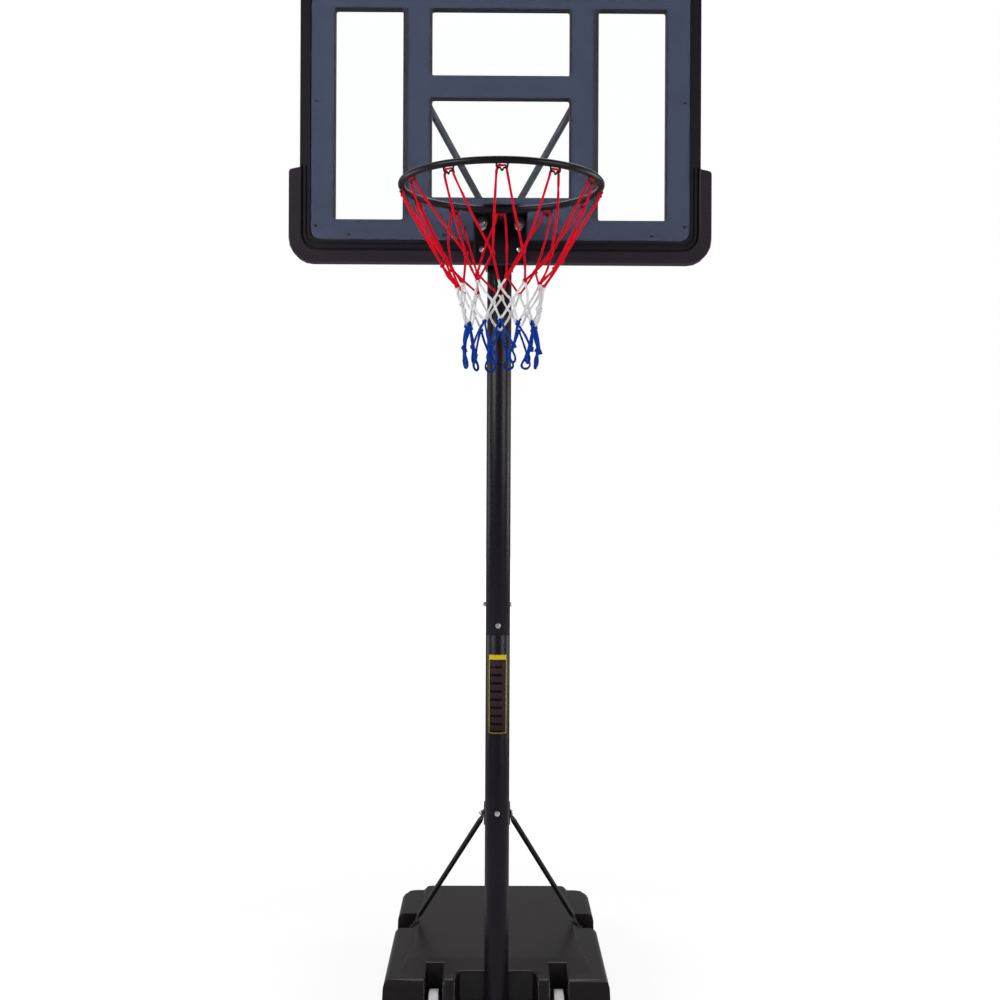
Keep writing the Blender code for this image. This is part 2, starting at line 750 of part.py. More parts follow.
def at_a_notch(edge):
    """Whether an edge is an outer corner of a strut's notch."""
    front = POLE_Y + NOTCH_FRONT - TANK_LEAST_EDGE
    back = POLE_Y + NOTCH_BACK + TANK_LEAST_EDGE
    places = [vert.co for vert in edge.verts]
    at_notch = all(abs(place.x) > PLATEAU_BACK_HALF - 0.01 and front < place.y < back for place in places)
    return at_notch and edge.is_convex and edge.calc_face_angle() > math.radians(40)


def base():
    """Ballast tank with its filler cap."""
    tank = tank_body()
    join(tank, tank_plateau())
    cut(tank, *tank_openings())
    rounded_edges(tank, TANK_MOUTH_R, TANK_LEAST_EDGE, at_an_opening)
    rounded_edges(tank, NOTCH_MOUTH_R, TANK_LEAST_EDGE, at_a_notch)
    cut(tank, *tank_bores())
    rim = FILLER_CAP_R
    plug = FILLER_R - FILLER_PLAY
    profile = (
        (0, FILLER_CAP_HEIGHT),
        (rim * 0.55, FILLER_CAP_HEIGHT),
        (rim * 0.6, FILLER_CAP_HEIGHT * 0.7),
        (rim, FILLER_CAP_HEIGHT * 0.65),
        (rim, 0.0),
        (plug, 0.0),
        (plug, -FILLER_DEPTH * 0.7),
        (0, -FILLER_DEPTH * 0.7),
    )
    seat = (0, POLE_Y + FILLER_BACK, PLATEAU_Z + SEAT_GAP)
    turned("filler_cap", profile, (0, 0, 1), seat, SMOOTH_PLASTIC, 20)


def wheels():
    """Moulded wheels on a plain axle that also pins the pole's foot."""
    end = WHEEL_X + WHEEL_SLOT_WIDTH / 2 + AXLE_END_INTO_TANK
    rod("wheel_axle", AXLE_R, -end, end, (1, 0, 0), (0, POLE_Y, AXLE_Z), ZINC, 16)
    half = WHEEL_WIDTH / 2
    hub = WHEEL_HUB_LENGTH / 2
    bore = (AXLE_R + AXLE_RUNNING) / math.cos(math.pi / 24)
    rim = WHEEL_R * WHEEL_RIM
    boss = AXLE_R + WHEEL_HUB_WALL
    upper = (
        (bore, hub),
        (boss, hub),
        (boss + WHEEL_WEB / 2, WHEEL_WEB),
        (rim - WHEEL_WEB / 2, WHEEL_WEB),
        (rim, half),
        (WHEEL_R - WHEEL_EDGE, half),
        (WHEEL_R, half - WHEEL_EDGE),
    )
    lower = [(radius, -height) for radius, height in reversed(upper)]
    for side_name, side in SIDES:
        centre = (side * WHEEL_X, POLE_Y, AXLE_Z)
        turned(f"wheel_{side_name}", [*upper, *lower], (1, 0, 0), centre, PALE_PLASTIC, 24, ring=True)


def lower_pole():
    """Outer pole in the tank's recess, its foot plug, and the inner pole that it holds."""
    up = (0, 0, 1)
    across = (1, 0, 0)
    axis = (0, POLE_Y, 0)
    pole = pipe("lower_pole", POLE_R, POLE_BORE_R, POLE_FOOT_Z, SEAM_Z - SLEEVE_LIP - SEAT_GAP, up, axis,
                COATED_STEEL)
    hole = POLE_R + 0.02
    cut(
        pole,
        bolt_hole("axle_hole", AXLE_R, -hole, hole, across, (0, POLE_Y, AXLE_Z)),
        bolt_hole("bracket_hole", M8_R, -hole, hole, (0, 1, 0), (0, POLE_Y, BRACKET_BOLT_Z)),
    )
    plug = (
        (0, POLE_FOOT_Z + PLUG_LENGTH),
        (POLE_BORE_R - SEAT_GAP - 0.002, POLE_FOOT_Z + PLUG_LENGTH),
        (POLE_BORE_R - SEAT_GAP, POLE_FOOT_Z + PLUG_LENGTH - 0.004),
        (POLE_BORE_R - SEAT_GAP, POLE_FOOT_Z - SEAT_GAP),
        (POLE_R, POLE_FOOT_Z - SEAT_GAP),
        (POLE_R, POLE_FOOT_Z - PLUG_HEAD + 0.003),
        (POLE_R - 0.003, POLE_FOOT_Z - PLUG_HEAD),
        (0, POLE_FOOT_Z - PLUG_HEAD),
    )
    turned("pole_foot_plug", plug, up, axis, SMOOTH_PLASTIC, 24)
    lip = SEAM_Z - SLEEVE_LIP
    sleeve = (
        (POLE_R + SLEEVE_PROUD, SEAM_Z),
        (POLE_R + SLEEVE_PROUD, lip),
        (SLEEVE_OUT_R, lip),
        (SLEEVE_OUT_R, SEAM_Z - SLEEVE_LENGTH),
        (SLEEVE_IN_R, SEAM_Z - SLEEVE_LENGTH),
        (SLEEVE_IN_R, SEAM_Z),
    )
    turned("pole_sleeve_lower", sleeve, up, axis, SMOOTH_PLASTIC, 28, ring=True)
    inner = pipe("inner_pole", INNER_POLE_R, INNER_POLE_R - INNER_POLE_WALL, INNER_POLE_BOTTOM_Z,
                 INNER_POLE_TOP_Z, up, axis, GALVANISED)
    for k in range(HEIGHT_STEPS + 1):
        centre = (0, POLE_Y, HEIGHT_BOLT_Z + k * HEIGHT_STEP)
        cut(inner, bolt_hole(f"height_hole_{k}", M8_R, -hole, hole, across, centre))


def struts():
    """Bracket behind the pole, the two struts to the tank, and their bolts."""
    wing = WING_X + BRACKET_PLATE
    web = POLE_Y + POLE_R + SEAT_GAP
    reach = POLE_Y + BRACKET_REACH
    low = STRUT_BOLT_Z - BRACKET_HEIGHT / 2
    high = low + BRACKET_HEIGHT
    plan = [
        (-wing, web, 0.003),
        (wing, web, 0.003),
        (wing, reach, 0),
        (WING_X, reach, 0),
        (WING_X, web + BRACKET_PLATE, 0),
        (-WING_X, web + BRACKET_PLATE, 0),
        (-WING_X, reach, 0),
        (-wing, reach, 0),
    ]
    bracket = cut_from_sheet("strut_bracket", [rounded(plan, 2)], high - low, floor_plane(low),
                             COATED_STEEL)
    across = (1, 0, 0)
    reach = wing + 0.02
    bolt_centre = Vector((0, POLE_Y + STRUT_BOLT_BACK, STRUT_BOLT_Z))
    cut(
        bracket,
        bolt_hole("strut_bolt_hole", M8_R, -reach, reach, across, bolt_centre),
        bolt_hole("web_hole", M8_R, -0.01, 0.02, (0, 1, 0), (0, web, BRACKET_BOLT_Z)),
    )
    for side_name, side in SIDES:
        top = Vector((side * STRUT_TOP_X, bolt_centre.y, STRUT_BOLT_Z))
        foot, normal = strut_foot(side)
        ends = ((top, Vector((side, 0, 0)), STRUT_TOP_TAB), (foot, normal, STRUT_FOOT_TAB))
        strut = flattened_tube(f"strut_{side_name}", ends, STRUT_R, STRUT_TAB_WIDTH, COATED_STEEL)
        cut(
            strut,
            bolt_hole(f"strut_top_{side_name}", M8_R, -0.02, 0.02, across, top),
            bolt_hole(f"strut_foot_{side_name}", M8_R, -0.02, 0.02, normal, foot),
        )
        seat = foot + normal * (TAB_HALF + SEAT_GAP)
        bolt(f"strut_foot_bolt_{side_name}", M8_R, 0.028, normal, seat, ZINC)
    seat_x = STRUT_TOP_X + TAB_HALF + SEAT_GAP
    length = 2 * seat_x + M8_R * NUT_HEIGHT_RATIO + THREAD_END
    bolt("strut_bolt", M8_R, length, (1, 0, 0), (seat_x, bolt_centre.y, bolt_centre.z), ZINC)
    nut("strut_nut", M8_R, (-1, 0, 0), (-seat_x, bolt_centre.y, bolt_centre.z), ZINC)
    front = POLE_Y - POLE_R - SEAT_GAP
    behind = POLE_Y + BRACKET_WEB_BACK + SEAT_GAP
    length = behind - front + M8_R * NUT_HEIGHT_RATIO + THREAD_END
    bolt("bracket_bolt", M8_R, length, (0, -1, 0), (0, front, BRACKET_BOLT_Z), ZINC)
    nut("bracket_nut", M8_R, (0, 1, 0), (0, behind, BRACKET_BOLT_Z), ZINC)


def upper_pole():
    """Outer pole that slides over the inner one, with its sleeve, cap and height screws."""
    up = (0, 0, 1)
    axis = (0, POLE_Y, 0)
    bottom = SEAM_Z + SEAT_GAP
    pole = pipe("upper_pole", POLE_R, POLE_BORE_R, bottom, POLE_TOP_Z, up, axis, COATED_STEEL)
    reach = POLE_R + 0.02
    screw_hole = bolt_hole("clamp_hole", M8_R, 0, reach, (0, -1, 0), (0, POLE_Y, CLAMP_SCREW_Z))
    cut(pole, screw_hole)
    for hole_name, height in (
        ("height_bolt_hole", HEIGHT_BOLT_Z),
        ("arm_bolt_hole", ARM_POLE_BOTTOM_Z + ARM_POLE_HEIGHT / 2),
        ("vbar_bolt_hole", VBAR_POLE_Z),
    ):
        cut(pole, bolt_hole(hole_name, M8_R, -reach, reach, (1, 0, 0), (0, POLE_Y, height)))
    sleeve = pipe("pole_sleeve_upper", SLEEVE_OUT_R, SLEEVE_IN_R, bottom, bottom + SLEEVE_LENGTH - 0.012,
                  up, axis, SMOOTH_PLASTIC)
    cut(sleeve, screw_hole)
    plug = (
        (0, POLE_TOP_Z + 0.006),
        (POLE_R * 0.6, POLE_TOP_Z + 0.005),
        (POLE_R, POLE_TOP_Z + 0.0015),
        (POLE_R, POLE_TOP_Z + SEAT_GAP),
        (POLE_BORE_R - SEAT_GAP, POLE_TOP_Z + SEAT_GAP),
        (POLE_BORE_R - SEAT_GAP, POLE_TOP_Z - 0.018),
        (0, POLE_TOP_Z - 0.018),
    )
    turned("pole_cap", plug, up, axis, SMOOTH_PLASTIC, 24)
    stub = POLE_R - INNER_POLE_R - 0.001
    bolt("height_bolt_head", M8_R, stub, (1, 0, 0), (POLE_R + SEAT_GAP, POLE_Y, HEIGHT_BOLT_Z), ZINC)
    width = M8_R * NUT_RATIO
    height = M8_R * NUT_HEIGHT_RATIO
    nut_profile = (
        (0, height + 0.002),
        (M8_R, height + 0.002),
        (M8_R, height),
        (width, height),
        (width, 0),
        (M8_R, 0),
        (M8_R, -stub),
        (0, -stub),
    )
    seat = (-POLE_R - SEAT_GAP, POLE_Y, HEIGHT_BOLT_Z)
    turned("height_bolt_nut", nut_profile, (-1, 0, 0), seat, ZINC, 6)
    seat = (0, POLE_Y - POLE_R - SEAT_GAP, CLAMP_SCREW_Z)
    bolt("clamp_screw", M8_R, POLE_R - INNER_POLE_R, (0, -1, 0), seat, ZINC)


def frame_cells(left, right, bottom, top, columns, rows):
    """Blocks that hollow one band of the frame from behind, with ribs left between them."""
    wide = (right - left - FRAME_WALL * 2 + FRAME_RIB) / columns
    tall = (top - bottom - FRAME_WALL * 2 + FRAME_RIB) / rows
    near = RECESS_Y + FRAME_FACE_WALL
    spans = []
    for i in range(columns):
        for j in range(rows):
            x = left + FRAME_WALL + i * wide
            z = bottom + FRAME_WALL + j * tall
            high = (x + wide - FRAME_RIB, FRAME_BACK_Y + 0.02, z + tall - FRAME_RIB)
            spans.append(((x, near, z), high))
    return spans


def frame_hollows():
    """Every hollowed band of the board frame, right half and left half."""
    boss = 0.5 * (UPPER_WINDOW_BOTTOM_Z - LOWER_WINDOW_TOP_Z)
    half = [
        (SIDE_WINDOW_OUT, FRAME_HALF, FRAME_BOTTOM_Z, FRAME_TOP_Z, 1, 5),
        (0, SIDE_WINDOW_OUT, WINDOW_TOP_Z, FRAME_TOP_Z, 3, 1),
        (HARDPOINT_HALF, SIDE_WINDOW_IN, FRAME_BOTTOM_Z, LOWER_WINDOW_BOTTOM_Z, 2, 1),
        (SIDE_WINDOW_IN, SIDE_WINDOW_OUT, FRAME_BOTTOM_Z, SIDE_WINDOW_BOTTOM_Z, 2, 1),
        (CENTRE_WINDOW_HALF, SIDE_WINDOW_IN, LOWER_WINDOW_BOTTOM_Z, LOWER_WINDOW_TOP_Z, 1, 2),
        (CENTRE_WINDOW_HALF, SIDE_WINDOW_IN, UPPER_WINDOW_BOTTOM_Z + boss, WINDOW_TOP_Z, 1, 1),
        (0, CENTRE_WINDOW_HALF, LOWER_WINDOW_TOP_Z, UPPER_WINDOW_BOTTOM_Z, 1, 1),
    ]
    spans = []
    for band in half:
        for low, high in frame_cells(*band):
            spans.append((low, high))
            spans.append(((-high[0], low[1], low[2]), (-low[0], high[1], high[2])))
    hollows = boxes("frame_hollows", spans)
    side = FRAME_HALF - FRAME_WALL
    inner = rounded_box(-side, side, FRAME_BOTTOM_Z + FRAME_WALL, FRAME_TOP_Z - FRAME_WALL,
                        FRAME_CORNER_R - FRAME_WALL, 4)
    kept = cut_from_sheet("hollows_outline", [inner], 3 * FRAME_DEPTH, front_plane(FACE_Y, 3 * FRAME_DEPTH))
    boolean(hollows, kept, "INTERSECT")
    return hollows


def lip_grooves():
    """Two grooves in the frame's face, which leave a bead round the sheet and one inside the bumper."""
    seat = SHEET_HALF + PART_CLEARANCE
    bottom = SHEET_BOTTOM_Z - PART_CLEARANCE
    corner = SHEET_CORNER_R + PART_CLEARANCE
    top = BUMPER_TOP_Z + GROOVE_ABOVE_BUMPER
    lip = BUMPER_LEG_IN - LIP_GROOVE
    lip_z = BUMPER_LIP_Z + LIP_GROOVE
    bands = (
        ("inner_groove", seat + BEAD, bottom - BEAD, corner + BEAD,
         lip - OUTER_BEAD, lip_z + OUTER_BEAD, BUMPER_LIP_R - LIP_GROOVE - OUTER_BEAD),
        ("outer_groove", lip, lip_z, BUMPER_LIP_R - LIP_GROOVE,
         BUMPER_LEG_IN + SEAT_GAP, BUMPER_LIP_Z - SEAT_GAP, BUMPER_LIP_R),
    )
    tools = []
    for name, near, near_z, near_r, far, far_z, far_r in bands:
        band = [
            (-far, far_z, far_r),
            (far, far_z, far_r),
            (far, top, 0),
            (near, top, 0),
            (near, near_z, near_r),
            (-near, near_z, near_r),
            (-near, top, 0),
            (-far, top, 0),
        ]
        plane = front_plane(FACE_Y - 0.01, 0.01 + GROOVE_IN_FACE)
        tools.append(cut_from_sheet(name, [rounded(band, 5)], 0.01 + GROOVE_IN_FACE, plane))
    return tools


def windows(step_centre=0.0, step_in=0.0, step_out=0.0, radius=WINDOW_CORNER_R):
    """Outlines of the two centre and two side windows, each side widened by its own step."""
    centre = CENTRE_WINDOW_HALF + step_centre
    loops = [
        rounded_box(-centre, centre, UPPER_WINDOW_BOTTOM_Z, WINDOW_TOP_Z, radius, 2),
        rounded_box(-centre, centre, LOWER_WINDOW_BOTTOM_Z, LOWER_WINDOW_TOP_Z, radius, 2),
    ]
    near = SIDE_WINDOW_IN - step_in
    far = SIDE_WINDOW_OUT + step_out
    for _, side in SIDES:
        xs = sorted((side * near, side * far))
        loops.append(rounded_box(*xs, SIDE_WINDOW_BOTTOM_Z, WINDOW_TOP_Z, radius, 2))
    return loops


def rim_bolt_holes(rows=("upper", "lower")):
    """Outlines of the rim bolts' holes."""
    sizes = {"upper": (RIM_UPPER_Z, M10_R), "lower": (RIM_LOWER_Z, M8_R)}
    loops = []
    for row in rows:
        height, shank = sizes[row]
        for _, side in SIDES:
            loops.append(circle(side * RIM_BOLT_X, height, shank + BOLT_CLEARANCE))
    return loops


def window_cutter(name, loops):
    return cut_from_sheet(name, loops, 3 * FRAME_DEPTH, front_plane(FACE_Y - FRAME_DEPTH, 3 * FRAME_DEPTH))


def board():
    """Moulded frame, clear sheet, printed border and the bumper round the lower edge."""
    outline = rounded_box(-FRAME_HALF, FRAME_HALF, FRAME_BOTTOM_Z, FRAME_TOP_Z, FRAME_CORNER_R, 4)
    frame = cut_from_sheet("board_frame", [outline, *rim_bolt_holes()], FRAME_DEPTH,
                           front_plane(FACE_Y, FRAME_DEPTH), MOULDED_PLASTIC)
    side = SHEET_HALF + PART_CLEARANCE
    seat = rounded_box(-side, side, SHEET_BOTTOM_Z - PART_CLEARANCE, SHEET_TOP_Z + PART_CLEARANCE,
                       SHEET_CORNER_R + PART_CLEARANCE, 4)
    depth = RECESS_Y - FACE_Y
    recess = cut_from_sheet("sheet_seat", [seat], depth + 0.02, front_plane(FACE_Y - 0.02, depth + 0.02))
    cut(frame, recess, window_cutter("frame_windows", windows()), frame_hollows(), *lip_grooves())
    for side_name, sign in SIDES:
        centre = (sign * VBAR_BOARD_X, FRAME_BACK_Y, VBAR_BOARD_Z)
        cut(frame, bolt_hole(f"vbar_seat_{side_name}", M8_R, -0.024, 0.02, (0, 1, 0), centre))
    sheet = rounded_box(-SHEET_HALF, SHEET_HALF, SHEET_BOTTOM_Z, SHEET_TOP_Z, SHEET_CORNER_R, 4)
    upper_holes = rim_bolt_holes(("upper",))
    cut_from_sheet("board_sheet", [sheet, *upper_holes], SHEET_THICKNESS,
                   front_plane(FACE_Y, SHEET_THICKNESS), CLEAR_SHEET)
    printed = windows(PRINT_STEP_CENTRE, PRINT_STEP_IN, PRINT_STEP_OUT, PRINT_CORNER_R)
    border = cut_from_sheet("border_print", [sheet, *upper_holes], FILM_THICKNESS,
                            front_plane(FILM_Y, FILM_THICKNESS), SLATE_PRINT)
    cut(border, window_cutter("print_windows", printed))


def bumper_outline(inset, mouth):
    """The bumper's U: its outer edge drawn in by an inset, its inner edge moved in by the mouth."""
    out = BUMPER_HALF - inset
    low = BUMPER_BOTTOM_Z + inset
    leg = BUMPER_LEG_IN - mouth
    lip = BUMPER_LIP_Z + mouth
    top = BUMPER_TOP_Z - inset
    shoulder = top - BUMPER_TOP_DROP
    outer_r = BUMPER_CORNER_R - inset
    corners = [
        (-out, low, outer_r),
        (out, low, outer_r),
        (out, shoulder, BUMPER_TOP_R - inset),
        (leg, top, 0),
        (leg, lip, BUMPER_LIP_R),
        (-leg, lip, BUMPER_LIP_R),
        (-leg, top, 0),
        (-out, shoulder, BUMPER_TOP_R - inset),
    ]
    return rounded(corners, 5)


def bumper():
    """A hollow channel that grips the frame's lower edge, notched in front for the rim's plate."""
    near = FACE_Y - BUMPER_LIP_PROUD
    depth = FRAME_DEPTH + BUMPER_LIP_PROUD + BUMPER_WALL + SEAT_GAP
    channel = cut_from_sheet("bottom_bumper", [bumper_outline(0, 0)], depth, front_plane(near, depth),
                             MOULDED_PLASTIC)
    bevel(channel, BUMPER_EDGE, 1, 50)
    inside = FRAME_DEPTH + 2 * SEAT_GAP
    plane = front_plane(FACE_Y - SEAT_GAP, inside)
    hollow = cut_from_sheet("bumper_hollow", [bumper_outline(BUMPER_WALL, 0.02)], inside, plane)
    edge = FRAME_HALF + SEAT_GAP
    passage = rounded_box(-edge, edge, FRAME_BOTTOM_Z - SEAT_GAP, FRAME_TOP_Z,
                          FRAME_CORNER_R + SEAT_GAP, 4)
    way = cut_from_sheet("frame_passage", [passage], inside, plane)
    half = RIM_PLATE_HALF + NOTCH_PLAY
    arms_half = ARM_FLANGE_OUT + NOTCH_PLAY
    above = BUMPER_LIP_Z + 0.02
    notches = boxes("plate_notches", [
        ((-half, near - 0.02, BUMPER_BOTTOM_Z - 0.02), (half, FACE_Y + SEAT_GAP, above)),
        ((-arms_half, FRAME_BACK_Y, ARM_BOARD_BOTTOM_Z - NOTCH_PLAY),
         (arms_half, FRAME_BACK_Y + 0.03, above)),
    ])
    cut(channel, hollow, way, notches)


def arms():
    """Plate arms from the pole's sides to the frame's back, where the rim bolts clamp them."""
    back = POLE_Y + ARM_POLE_END
    pole_top = ARM_POLE_BOTTOM_Z + ARM_POLE_HEIGHT
    profile = [
        (FLANGE_Y, ARM_BOARD_BOTTOM_Z, 0),
        (FLANGE_Y + 0.03, ARM_BOARD_BOTTOM_Z, 0.02),
        (FLANGE_Y + 0.09, ARM_POLE_BOTTOM_Z, 0.04),
        (back, ARM_POLE_BOTTOM_Z, ARM_POLE_HEIGHT * 0.4),
        (back, pole_top, ARM_POLE_HEIGHT * 0.4),
        (FLANGE_Y + 0.13, pole_top, 0.05),
        (FLANGE_Y + 0.03, ARM_BOARD_TOP_Z, 0.02),
        (FLANGE_Y, ARM_BOARD_TOP_Z, 0),
    ]
    bolt_z = ARM_POLE_BOTTOM_Z + ARM_POLE_HEIGHT / 2
    holes = circle(POLE_Y, bolt_z, M8_R + BOLT_CLEARANCE)
    for side_name, side in SIDES:
        x = WING_X if side > 0 else -WING_X - ARM_PLATE
        arm = cut_from_sheet(f"arm_{side_name}", [rounded(profile, 2), holes], ARM_PLATE, side_plane(x),
                             COATED_STEEL)
        xs = sorted((side * WING_X, side * ARM_FLANGE_OUT))
        flange_loop = rounded_box(*xs, ARM_BOARD_BOTTOM_Z, ARM_BOARD_TOP_Z, 0.003, 1)
        flange_holes = [
            circle(side * RIM_BOLT_X, RIM_UPPER_Z, M10_R + BOLT_CLEARANCE),
            circle(side * RIM_BOLT_X, RIM_LOWER_Z, M8_R + BOLT_CLEARANCE),
        ]
        flange = cut_from_sheet(f"arm_flange_{side_name}", [flange_loop, *flange_holes], ARM_PLATE,
                                front_plane(FLANGE_Y, ARM_PLATE))
        join(arm, flange)
    through_bolt("arm", bolt_z, WING_X + ARM_PLATE + SEAT_GAP)


def through_bolt(name, height, seat):
    """A bolt across the pole, head to the right and nut to the left."""
    length = 2 * seat + M8_R * NUT_HEIGHT_RATIO + THREAD_END
    bolt(f"{name}_bolt", M8_R, length, (1, 0, 0), (seat, POLE_Y, height), ZINC)
    nut(f"{name}_nut", M8_R, (-1, 0, 0), (-seat, POLE_Y, height), ZINC)


def v_bars():
    """Tubes with pressed ends that rise from the pole's top to the frame's centre rail."""
    pole_x = WING_X + TAB_HALF
    board_y = FLANGE_Y + TAB_HALF
    for side_name, side in SIDES:
        low = Vector((side * pole_x, POLE_Y, VBAR_POLE_Z))
        high = Vector((side * VBAR_BOARD_X, board_y, VBAR_BOARD_Z))
        ends = ((low, Vector((side, 0, 0)), VBAR_TAB), (high, Vector((0, 1, 0)), VBAR_TAB))
        bar = flattened_tube(f"v_bar_{side_name}", ends, VBAR_R, VBAR_TAB_WIDTH, COATED_STEEL)
        cut(
            bar,
            bolt_hole(f"v_bar_low_{side_name}", M8_R, -0.02, 0.02, (1, 0, 0), low),
            bolt_hole(f"v_bar_high_{side_name}", M8_R, -0.02, 0.02, (0, 1, 0), high),
        )
        seat = (high.x, board_y + TAB_HALF + SEAT_GAP, high.z)
        bolt(f"v_bar_screw_{side_name}", M8_R, 0.024, (0, 1, 0), seat, ZINC)
    through_bolt("v_bar", VBAR_POLE_Z, pole_x + TAB_HALF + SEAT_GAP)


def rim_plates():
    """The plate bolted to the board, and the bracket in front of it that tips with the rim."""
    half = RIM_PLATE_HALF
    top = TOP_PLATE_Z + TOP_PLATE
    fixed = rounded_box(-half, half, RIM_PLATE_BOTTOM_Z, TOP_PLATE_Z, 0.006, 1)
    cut_from_sheet("rim_back_plate", [fixed, *rim_bolt_holes()], BACK_PLATE,
                   front_plane(BACK_PLATE_Y, BACK_PLATE), COATED_STEEL)
    loops = [[(-half, RIM_PLATE_BOTTOM_Z), (half, RIM_PLATE_BOTTOM_Z), (half, top), (-half, top)]]
    for _, side in SIDES:
        x = side * RIM_BOLT_X
        loops.append(circle(x, RIM_UPPER_Z, M10_R + RIM_TILT_CLEARANCE))
        loops.append(circle(x, RIM_LOWER_Z, M8_R + RIM_TILT_CLEARANCE))
    bracket = cut_from_sheet("rim_bracket", loops, RIM_PLATE, front_plane(RIM_PLATE_Y, RIM_PLATE),
                             COATED_STEEL)
    ring_back = RING_Y + RING_R
    welded = RIM_PLATE_Y + WELD_OVERLAP
    wing = ring_back + RING_ROD_R + TOP_PLATE
    shelf = [
        (-half, welded),
        (-half, wing),
        (-SHELF_NOSE, ring_back - RING_ROD_R),
        (SHELF_NOSE, ring_back - RING_ROD_R),
        (half, wing),
        (half, welded),
    ]
    join(bracket, cut_from_sheet("rim_shelf", [shelf], TOP_PLATE, floor_plane(TOP_PLATE_Z)))
    tip = wing + GUSSET
    gusset = [
        (welded, RIM_PLATE_BOTTOM_Z + TOP_PLATE),
        (welded, TOP_PLATE_Z + WELD_OVERLAP),
        (tip, TOP_PLATE_Z + WELD_OVERLAP),
        (tip, RING_Z - RING_ROD_R),
        (tip + GUSSET_RUN, RING_Z - 3 * RING_ROD_R),
    ]
    for side_name, side in SIDES:
        x = half - GUSSET - WELD_OVERLAP if side > 0 else -half + WELD_OVERLAP
        join(bracket, cut_from_sheet(f"gusset_{side_name}", [gusset], GUSSET, side_plane(x)))


def rim_bolts():
    """Long bolts with springs above, which let the bracket tip, and loose bolts below."""
    nut_seat = FLANGE_Y + ARM_PLATE + SEAT_GAP
    front = (0, -1, 0)
    for side_name, side in SIDES:
        x = side * RIM_BOLT_X
        for row, height, shank, seat in (
            ("upper", RIM_UPPER_Z, M10_R, WASHER_Y - SEAT_GAP),
            ("lower", RIM_LOWER_Z, M8_R, RIM_PLATE_Y - RIM_LOWER_PLAY),
        ):
            length = nut_seat - seat + shank * NUT_HEIGHT_RATIO + THREAD_END
            bolt(f"rim_bolt_{row}_{side_name}", shank, length, front, (x, seat, height), ZINC)
            nut(f"rim_nut_{row}_{side_name}", shank, (0, 1, 0), (x, nut_seat, height), ZINC)
        bore = (M10_R + BOLT_CLEARANCE) / math.cos(math.pi / 16)
        pipe(f"rim_washer_{side_name}", WASHER_R, bore, 0, WASHER_THICKNESS, front,
             (x, SPRING_SEAT_Y, RIM_UPPER_Z), ZINC, 16)


def rim_springs():
    """Two compression springs, each one unbroken tube wound round its bolt."""
    first = SPRING_SEAT_Y + SPRING_WIRE_R + SEAT_GAP
    rise = SPRING_LENGTH - 2 * (SPRING_WIRE_R + SEAT_GAP)
    count = SPRING_CURLS * SPRING_POINTS
    for side_name, side in SIDES:
        data = bpy.data.curves.new(f"spring_{side_name}", "CURVE")
        data.dimensions = "3D"
        data.bevel_depth = SPRING_WIRE_R
        data.bevel_resolution = 1
        data.use_fill_caps = True
        spline = data.splines.new("POLY")
        spline.points.add(count)
        path = []
        for k, point in enumerate(spline.points):
            angle = 2 * math.pi * k / SPRING_POINTS
            x = side * RIM_BOLT_X + SPRING_R * math.cos(angle)
            path.append(Vector((x, first + rise * k / count, RIM_UPPER_Z + SPRING_R * math.sin(angle))))
            point.co = (*path[-1], 1)
        place(bpy.data.objects.new(f"spring_{side_name}", data), SPRING_STEEL)
        gaps = [
            (path[a] - path[b]).length - 2 * SPRING_WIRE_R
            for a in range(count + 1)
            for b in range(a + SPRING_POINTS // 2, count + 1)
        ]
        print(f"spring_{side_name}: least gap to itself {min(gaps) * 1000:.2f} mm")


def rim_ring():
    """The ring with its welded wire hooks, one at the front and the rest evenly round it."""
    sides = 8
    turns = [math.pi / 2 - 2 * math.pi * k / sides for k in range(sides)]
    profile = [(RING_R + RING_ROD_R * math.cos(a), RING_ROD_R * math.sin(a)) for a in turns]
    centre = Vector((0, RING_Y, RING_Z))
    ring = turned("rim_ring", profile, (0, 0, 1), centre, COATED_STEEL, 48, ring=True)
    under = -RING_ROD_R * 0.75
    wire = (
        (-HOOK_HALF, under),
        (-HOOK_HALF, -RING_ROD_R - HOOK_SHOULDER),
        (-HOOK_HALF * 0.4, -RING_ROD_R - HOOK_SHOULDER),
        (0, -RING_ROD_R - HOOK_TIP),
        (HOOK_HALF * 0.4, -RING_ROD_R - HOOK_SHOULDER),
        (HOOK_HALF, -RING_ROD_R - HOOK_SHOULDER),
        (HOOK_HALF, under),
    )
    data = bpy.data.curves.new("hooks", "CURVE")
    data.dimensions = "3D"
    data.bevel_depth = HOOK_WIRE_R
    data.bevel_resolution = 0
    data.use_fill_caps = True
    for k in range(HOOKS):
        angle = 2 * math.pi * k / HOOKS - math.pi / 2
        outward = Vector((math.cos(angle), math.sin(angle), 0))
        tangent = Vector((-math.sin(angle), math.cos(angle), 0))
        spline = data.splines.new("POLY")
        spline.points.add(len(wire) - 1)
        for point, (run, rise) in zip(spline.points, wire):
            reach = math.sqrt(RING_R**2 - run**2)
            point.co = (*(centre + outward * reach + tangent * run + Vector((0, 0, rise))), 1)
    join(ring, as_mesh(bpy.data.objects.new("hooks", data), "hooks", None))


def net_point(centre, turn, drop, radius):
    """A point of the net: turn counts hooks from the front one, drop is below the ring."""
    angle = 2 * math.pi * turn / HOOKS - math.pi / 2
    return centre + Vector((radius * math.cos(angle), radius * math.sin(angle), -drop))


